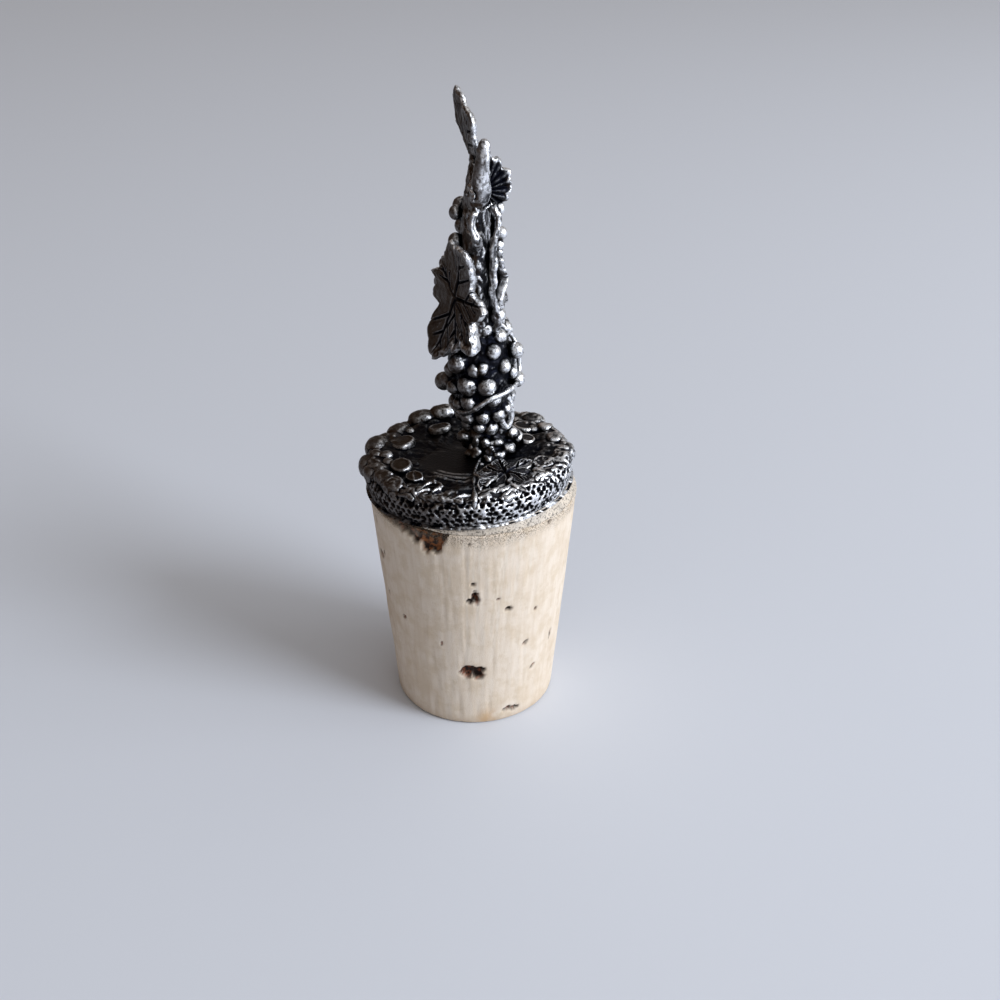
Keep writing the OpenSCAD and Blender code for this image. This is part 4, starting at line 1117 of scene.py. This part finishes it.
def build_bunch(bead):
    """Grapes on a core, over a crowd of small flattened ones where the bunch runs into the cap."""
    rings = []
    for s in np.linspace(0.02, 0.98, 40):
        full = 0.97 * bunch_fullness(s)
        rings.append(oval(BUNCH_W / 2 * full, BUNCH_L / 2 * full, BUNCH_BASE_Z + s * BUNCH_H, 72))
    core = solid("core", np.array(rings), ORNAMENT)
    rings = [oval(w * BUNCH_W, w * BUNCH_L, BUNCH_BASE_Z + h, 72) for w, h in BUNCH_FOOT]
    foot = solid("foot", np.array(rings), ORNAMENT)
    chance = random.Random(12)
    # Behind, the grapes sit in staggered rows of four
    spots = list(GRAPES)
    for row in range(7):
        for k in range(4):
            width = 2.1 + 0.25 * math.sin(math.radians(90 * k + 60 * row))
            spots.append([114 + 36 * k + (row % 2) * 18, 0.08 + 0.125 * row, width])
    rows = []
    for direction, share, width in spots:
        stretch = chance.uniform(0.95, 1.12)
        rows.append([on_bunch(direction, share), (width, width, width * stretch),
                     (chance.uniform(-25, 25), chance.uniform(-25, 25), direction)])
    for _ in range(44):
        a, h, w = chance.uniform(0, math.tau), chance.uniform(-0.1, 2.2), chance.uniform(0.7, 1.7)
        out = 0.34 - 0.03 * h
        rows.append([(out * BUNCH_W * math.cos(a), out * BUNCH_L * math.sin(a), BUNCH_BASE_Z + h),
                     (w, chance.uniform(0.5, 1) * w, chance.uniform(0.5, 1) * w),
                     [chance.uniform(-90, 90) for _ in range(3)]])
    rows += [[(x, y, BUNCH_BASE_Z + h), (w, w, 0.9 * w), (0, 0, 30 * x)] for x, y, h, w in LOW_GRAPES]
    bunch = fuse("grape_bunch", [core, foot, beads("grapes", bead, rows, ORNAMENT)])
    # The blackened ground between the grapes, and its rough skin
    p = placed(points_of(bunch), ORNAMENT.inverted())
    share = np.clip((p[:, 2] - BUNCH_BASE_Z) / BUNCH_H, 0.02, 0.98)
    out = np.hypot(p[:, 0] / (BUNCH_W / 2), p[:, 1] / (BUNCH_L / 2)) / np.maximum(bunch_fullness(share), 0.4)
    ground = smoothstep(out, 1.16, 1.0)
    low = smoothstep(p[:, 2], BUNCH_BASE_Z + 3.4, BUNCH_BASE_Z + 1.2)
    push(bunch, ground * (0.12 * noise(p, 0.6, 27) + 0.08 * noise(p, 0.3, 28)) + 0.08 * noise(p, 0.8, 29)
         + 0.035 * noise(p, 0.3, 30) + low * (0.1 * crests(p, 1.0, 31) - 0.05 + 0.2 * noise(p, 0.7, 32)))
    store(bunch, "ground", ground * (1 - 0.6 * low))
    return bunch


def build_vine():
    """The solid vine behind the leaves, under ropy bark."""
    knots = np.array(VINE, float)
    t = np.linspace(0, len(knots) - 1, 60)
    rows = np.column_stack([np.interp(t, np.arange(len(knots)), column) for column in knots.T])
    rings = [oval(STEM_D / 2 * w, BUNCH_L / 2 * b, stem_z(s), 80, x, y) for x, y, s, w, b in rows]
    vine = fuse("vine_stem", [solid("vine_core", np.array(rings), ORNAMENT)])
    p = points_of(vine)
    x, y, z = p.T
    flow = triples(x, y + 0.45 * z, z) + 0.5 * noise(p, 2.2, 21)[:, None]
    bark = 0.13 * noise(flow, (0.5, 0.5, 3.2), 22) + 0.07 * noise(flow, (0.25, 0.25, 1.6), 23)
    # Facets of the near edge, twisted and worn bright
    local = placed(p, ORNAMENT.inverted())
    near = smoothstep(local[:, 1], -1.5, -3.5) * smoothstep(local[:, 2], stem_z(0.3), stem_z(0.45))
    facets = crests(triples(x + 0.5 * z, y, z), (0.9, 0.9, 2.4), 41)
    push(vine, bark + 0.05 * noise(p, 0.3, 24) - 0.1 + near * (0.4 * facets - 0.3))
    store(vine, "polish", near * smoothstep(facets, 0.45, 0.75))
    return vine


def build_shoots(shoot):
    """The shoots along the edges of the vine, rounder and smoother than its bark."""
    thing = fuse("vine_shoots", [shoots("shoots", shoot, [up_stem(path) for path in SHOOTS], ORNAMENT, 16)])
    p = points_of(thing)
    x, y, z = p.T
    creases = crests(triples(x + 0.3 * z, y - 0.3 * z, z), (0.7, 0.7, 2.6), 33)
    push(thing, 0.2 * creases + 0.1 * noise(p, 0.5, 34) - 0.2)
    store(thing, "polish", 0.1 + 0.85 * smoothstep(noise(p, (0.6, 0.6, 1.6), 35), -0.2, 0.35))
    return thing


def build_stump(bead, shoot):
    """The cut stump of the vine: a thumb of metal with a rounded top, a little creased and worn bright, and
    painted brighter on the side that faces the lamps.
    """
    path = up_stem(STUMP)
    x, y, z, w = path[-1]
    rod = shoots("stump", shoot, [path], ORNAMENT, 24)
    end = beads("stump_end", bead, [[(x, y, z), (w, w, 1.2 * w), (0, 0, 0)]], ORNAMENT)
    stump = fuse("vine_stump", [rod, end], 0.09)
    p = points_of(stump)
    push(stump, 0.12 * noise(p, (1.1, 1.1, 2.2), 25) + 0.05 * noise(p, 0.4, 26)
         + 0.14 * crests(p, (0.9, 0.9, 1.8), 39) - 0.1)
    # Polished bright towards its top, with dark patches, and painted brighter on its right, which faces the
    # lamps
    height = placed(p, ORNAMENT.inverted())[:, 2] + 0.8 * noise(p, 0.8, 38)
    worn = 1 - 0.75 * smoothstep(noise(p, (0.7, 0.7, 1.2), 37), 0.0, 0.6)
    lit = smoothstep(normals_of(stump)[:, 0] + 0.5 * noise(p, (0.5, 0.5, 1.4), 42), -0.35, 0.25)
    store(stump, "polish", worn * (0.45 + 0.55 * lit) * smoothstep(height, stem_z(0.74), stem_z(0.8)))
    return stump


def build_tendrils(shoot):
    """The tendril round the bunch, and the loop at its side."""
    wire = [[*on_bunch(direction, share, 1.2), 1.1 * TENDRIL_D] for direction, share in TENDRIL]
    loop = []
    x, y, z = on_bunch(70, 0.28, 1.05)
    for a in range(-70, 270, 20):
        sine, cosine = math.sin(math.radians(a)), math.cos(math.radians(a))
        loop.append([x + 0.6 * sine, y + 0.5 * sine, z + 1.9 * cosine, 1.6 * TENDRIL_D])
    tendrils = shoots("tendrils", shoot, [wire, loop], ORNAMENT, 12, 0.1)
    push(tendrils, 0.06 * noise(points_of(tendrils), 0.6, 40))
    store(tendrils, "polish", 0.5 + 0.5 * smoothstep(noise(points_of(tendrils), 1.2, 36), -0.5, 0.2))
    return tendrils


def build_berries(bead):
    """Berries, single and in groups, that sit on the vine."""
    chance = random.Random(20)
    rows = [[(x, y, stem_z(s)), (d, d * chance.uniform(0.95, 1.1), d), (chance.uniform(0, 90), 0, 0)]
            for x, y, s, d in BERRIES]
    return fuse("vine_berries", [beads("berries", bead, rows, ORNAMENT)])


def build_leaves():
    return [
        build_leaf("top_leaf", ORNAMENT @ move(0.45, -0.8, stem_z(0.9)) @ turn("Y", -17) @ turn("Z", -80), 7.2,
                   [[-9, 0.94], [45, 1], [-63, 0.78], [99, 0.6], [-117, 0.6], [180, 0.5]], 0.45, -0.02,
                   thickness=0.52, seed=1),
        build_leaf("side_leaf", ORNAMENT @ move(-2.1, -4.4, stem_z(0.13)) @ turn("Z", -58), 8.2,
                   [[36, 0.98], [9, 0.8], [-18, 0.56], [90, 0.74], [135, 0.84], [180, 0.74], [-153, 1.04],
                    [-99, 0.56], [-54, 0.5]], 0.45, 0.016, seed=2, around=520, steps=80, lobe_w=50,
                   ribs=[[180, 0.74], [-153, 1], [135, 0.8], [84, 0.7], [30, 0.95], [-30, 0.5]],
                   rolled=(160, 55)),
        build_leaf("far_leaf", ORNAMENT @ move(-1.2, 4.2, stem_z(0.3)) @ turn("Z", -98), 5.6,
                   [[0, 0.85], [-54, 1], [54, 0.8], [-117, 0.95], [117, 0.7], [180, 0.6]], 0.5, -0.01, seed=3),
        build_leaf("right_leaf", ORNAMENT @ move(3.1, 0.6, stem_z(0.2)) @ turn("Z", 94), 6.4,
                   [[0, 0.9], [-54, 0.9], [54, 1], [-117, 0.85], [117, 0.95], [180, 0.6]], 0.5, -0.012,
                   seed=4),
        build_leaf("fan_leaf", ORNAMENT @ move(1.7, -5.9, stem_z(0.77)) @ turn("Z", 38), 3.2,
                   [[9, 1.15], [36, 1.1], [63, 1.05], [90, 1], [117, 0.95], [-45, 0.5]], 0.5, 0.03, seed=5,
                   around=300, steps=40, pleats=20),
        build_leaf("cap_leaf", CASTING @ move(4.3, -5.6, CAP_H - 0.1) @ turn("Z", 195) @ turn("X", -92), 4.6,
                   [[0, 1], [-54, 0.9], [54, 0.95], [-117, 0.85], [117, 0.8], [180, 0.7]], 0.5, -0.02, seed=6)]


# ---- assembly ---------------------------------------------------------------------------------------

pewter = pewter_material()
bead, shoot = bead_tree(), shoot_tree()
casting = [build_drum(pit_tree(), pewter), build_peg(), build_rim(bead, shoot), build_bunch(bead),
           build_vine(), build_shoots(shoot), build_stump(bead, shoot), build_tendrils(shoot),
           build_berries(bead)]
casting += build_leaves()

# The relief is read against the whole casting, because its parts shade one another
whole = bmesh.new()
for piece in casting:
    whole.from_mesh(piece.data)
whole_mesh = bpy.data.meshes.new("whole_casting")
whole.to_mesh(whole_mesh)
whole.free()
whole_casting = bpy.data.objects.new("whole_casting", whole_mesh)
relief = relief_tree(22)
for piece in casting:
    grow(piece, relief, casting=whole_casting, reach=HOLLOW_REACH, material=pewter)
bpy.data.objects.remove(whole_casting)

cork = build_cork(cork_material())
cement = build_cement(adhesive_material())

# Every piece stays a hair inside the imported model's box, and comes to metres
HAIR = 0.002
low, high = (np.array(corner) / MM for corner in cad_box)
for piece, node, slot in [(p, "cast_top", "pewter") for p in casting] + [
        (cork, "cork", "cork"), (cement, "glue_bead", "adhesive")]:
    inside = np.clip(points_of(piece), low + HAIR, high - HAIR)
    piece.data.vertices.foreach_set("co", (inside * MM).ravel())
    piece.data.polygons.foreach_set("use_smooth", [True] * len(piece.data.polygons))
    piece.data.update()
    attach(piece, "root")
    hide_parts(node)

# ---- studio -----------------------------------------------------------------------------------------

board = new_object("board", [(-3, -3, 0), (3, -3, 0), (3, 3, 0), (-3, 3, 0)], [(0, 1, 2, 3)])
board.data.materials.append(floor_material())

scene = bpy.context.scene
scene.view_settings.view_transform = "Standard"
world = bpy.data.worlds.new("studio")
scene.world = world
world.use_nodes = True
# A soft sky, cooler and brighter on the lamp's side, dimmer and warmer on the other
sky = world.node_tree
side = vector(sky, "DOT_PRODUCT", add(sky, "ShaderNodeTexCoord", out="Generated"), (0.82, -0.3, 0.45))
shade(sky, sky.nodes["Background"], Color=blend(sky, ramp(sky, side, -0.8, 0.9), "#5f442a", "#cbcac9"))


def lamp(name, place, size, power, colour):
    """A round soft box that looks at the stopper's middle."""
    light = bpy.data.lights.new(name, "AREA")
    light.shape = "DISK"
    light.size = size
    light.energy = power
    light.color = linear(colour)[:3]
    thing = bpy.data.objects.new(name, light)
    thing.location = place
    thing.rotation_euler = (Vector((0, 0, 0.03)) - Vector(place)).to_track_quat("-Z", "Y").to_euler()
    scene.collection.objects.link(thing)


lamp("key", (0.69, -0.36, 0.48), 0.42, 5.6, "#f1f6ff")
lamp("window", (0.8, -0.25, 0.33), 0.8, 4.2, "#f4f8ff")

# The camera stands 13 cm in front of the stopper and 10 cm up, and looks down on it
camera = bpy.data.objects.new("camera", bpy.data.cameras.new("camera"))
camera.data.lens = 46.8
camera.data.sensor_width = 36
camera.data.clip_start = 0.005
camera.location = (0.00309, -0.13188, 0.09862)
camera.rotation_euler = (math.radians(60.91), 0, 0)
scene.collection.objects.link(camera)
scene.camera = camera
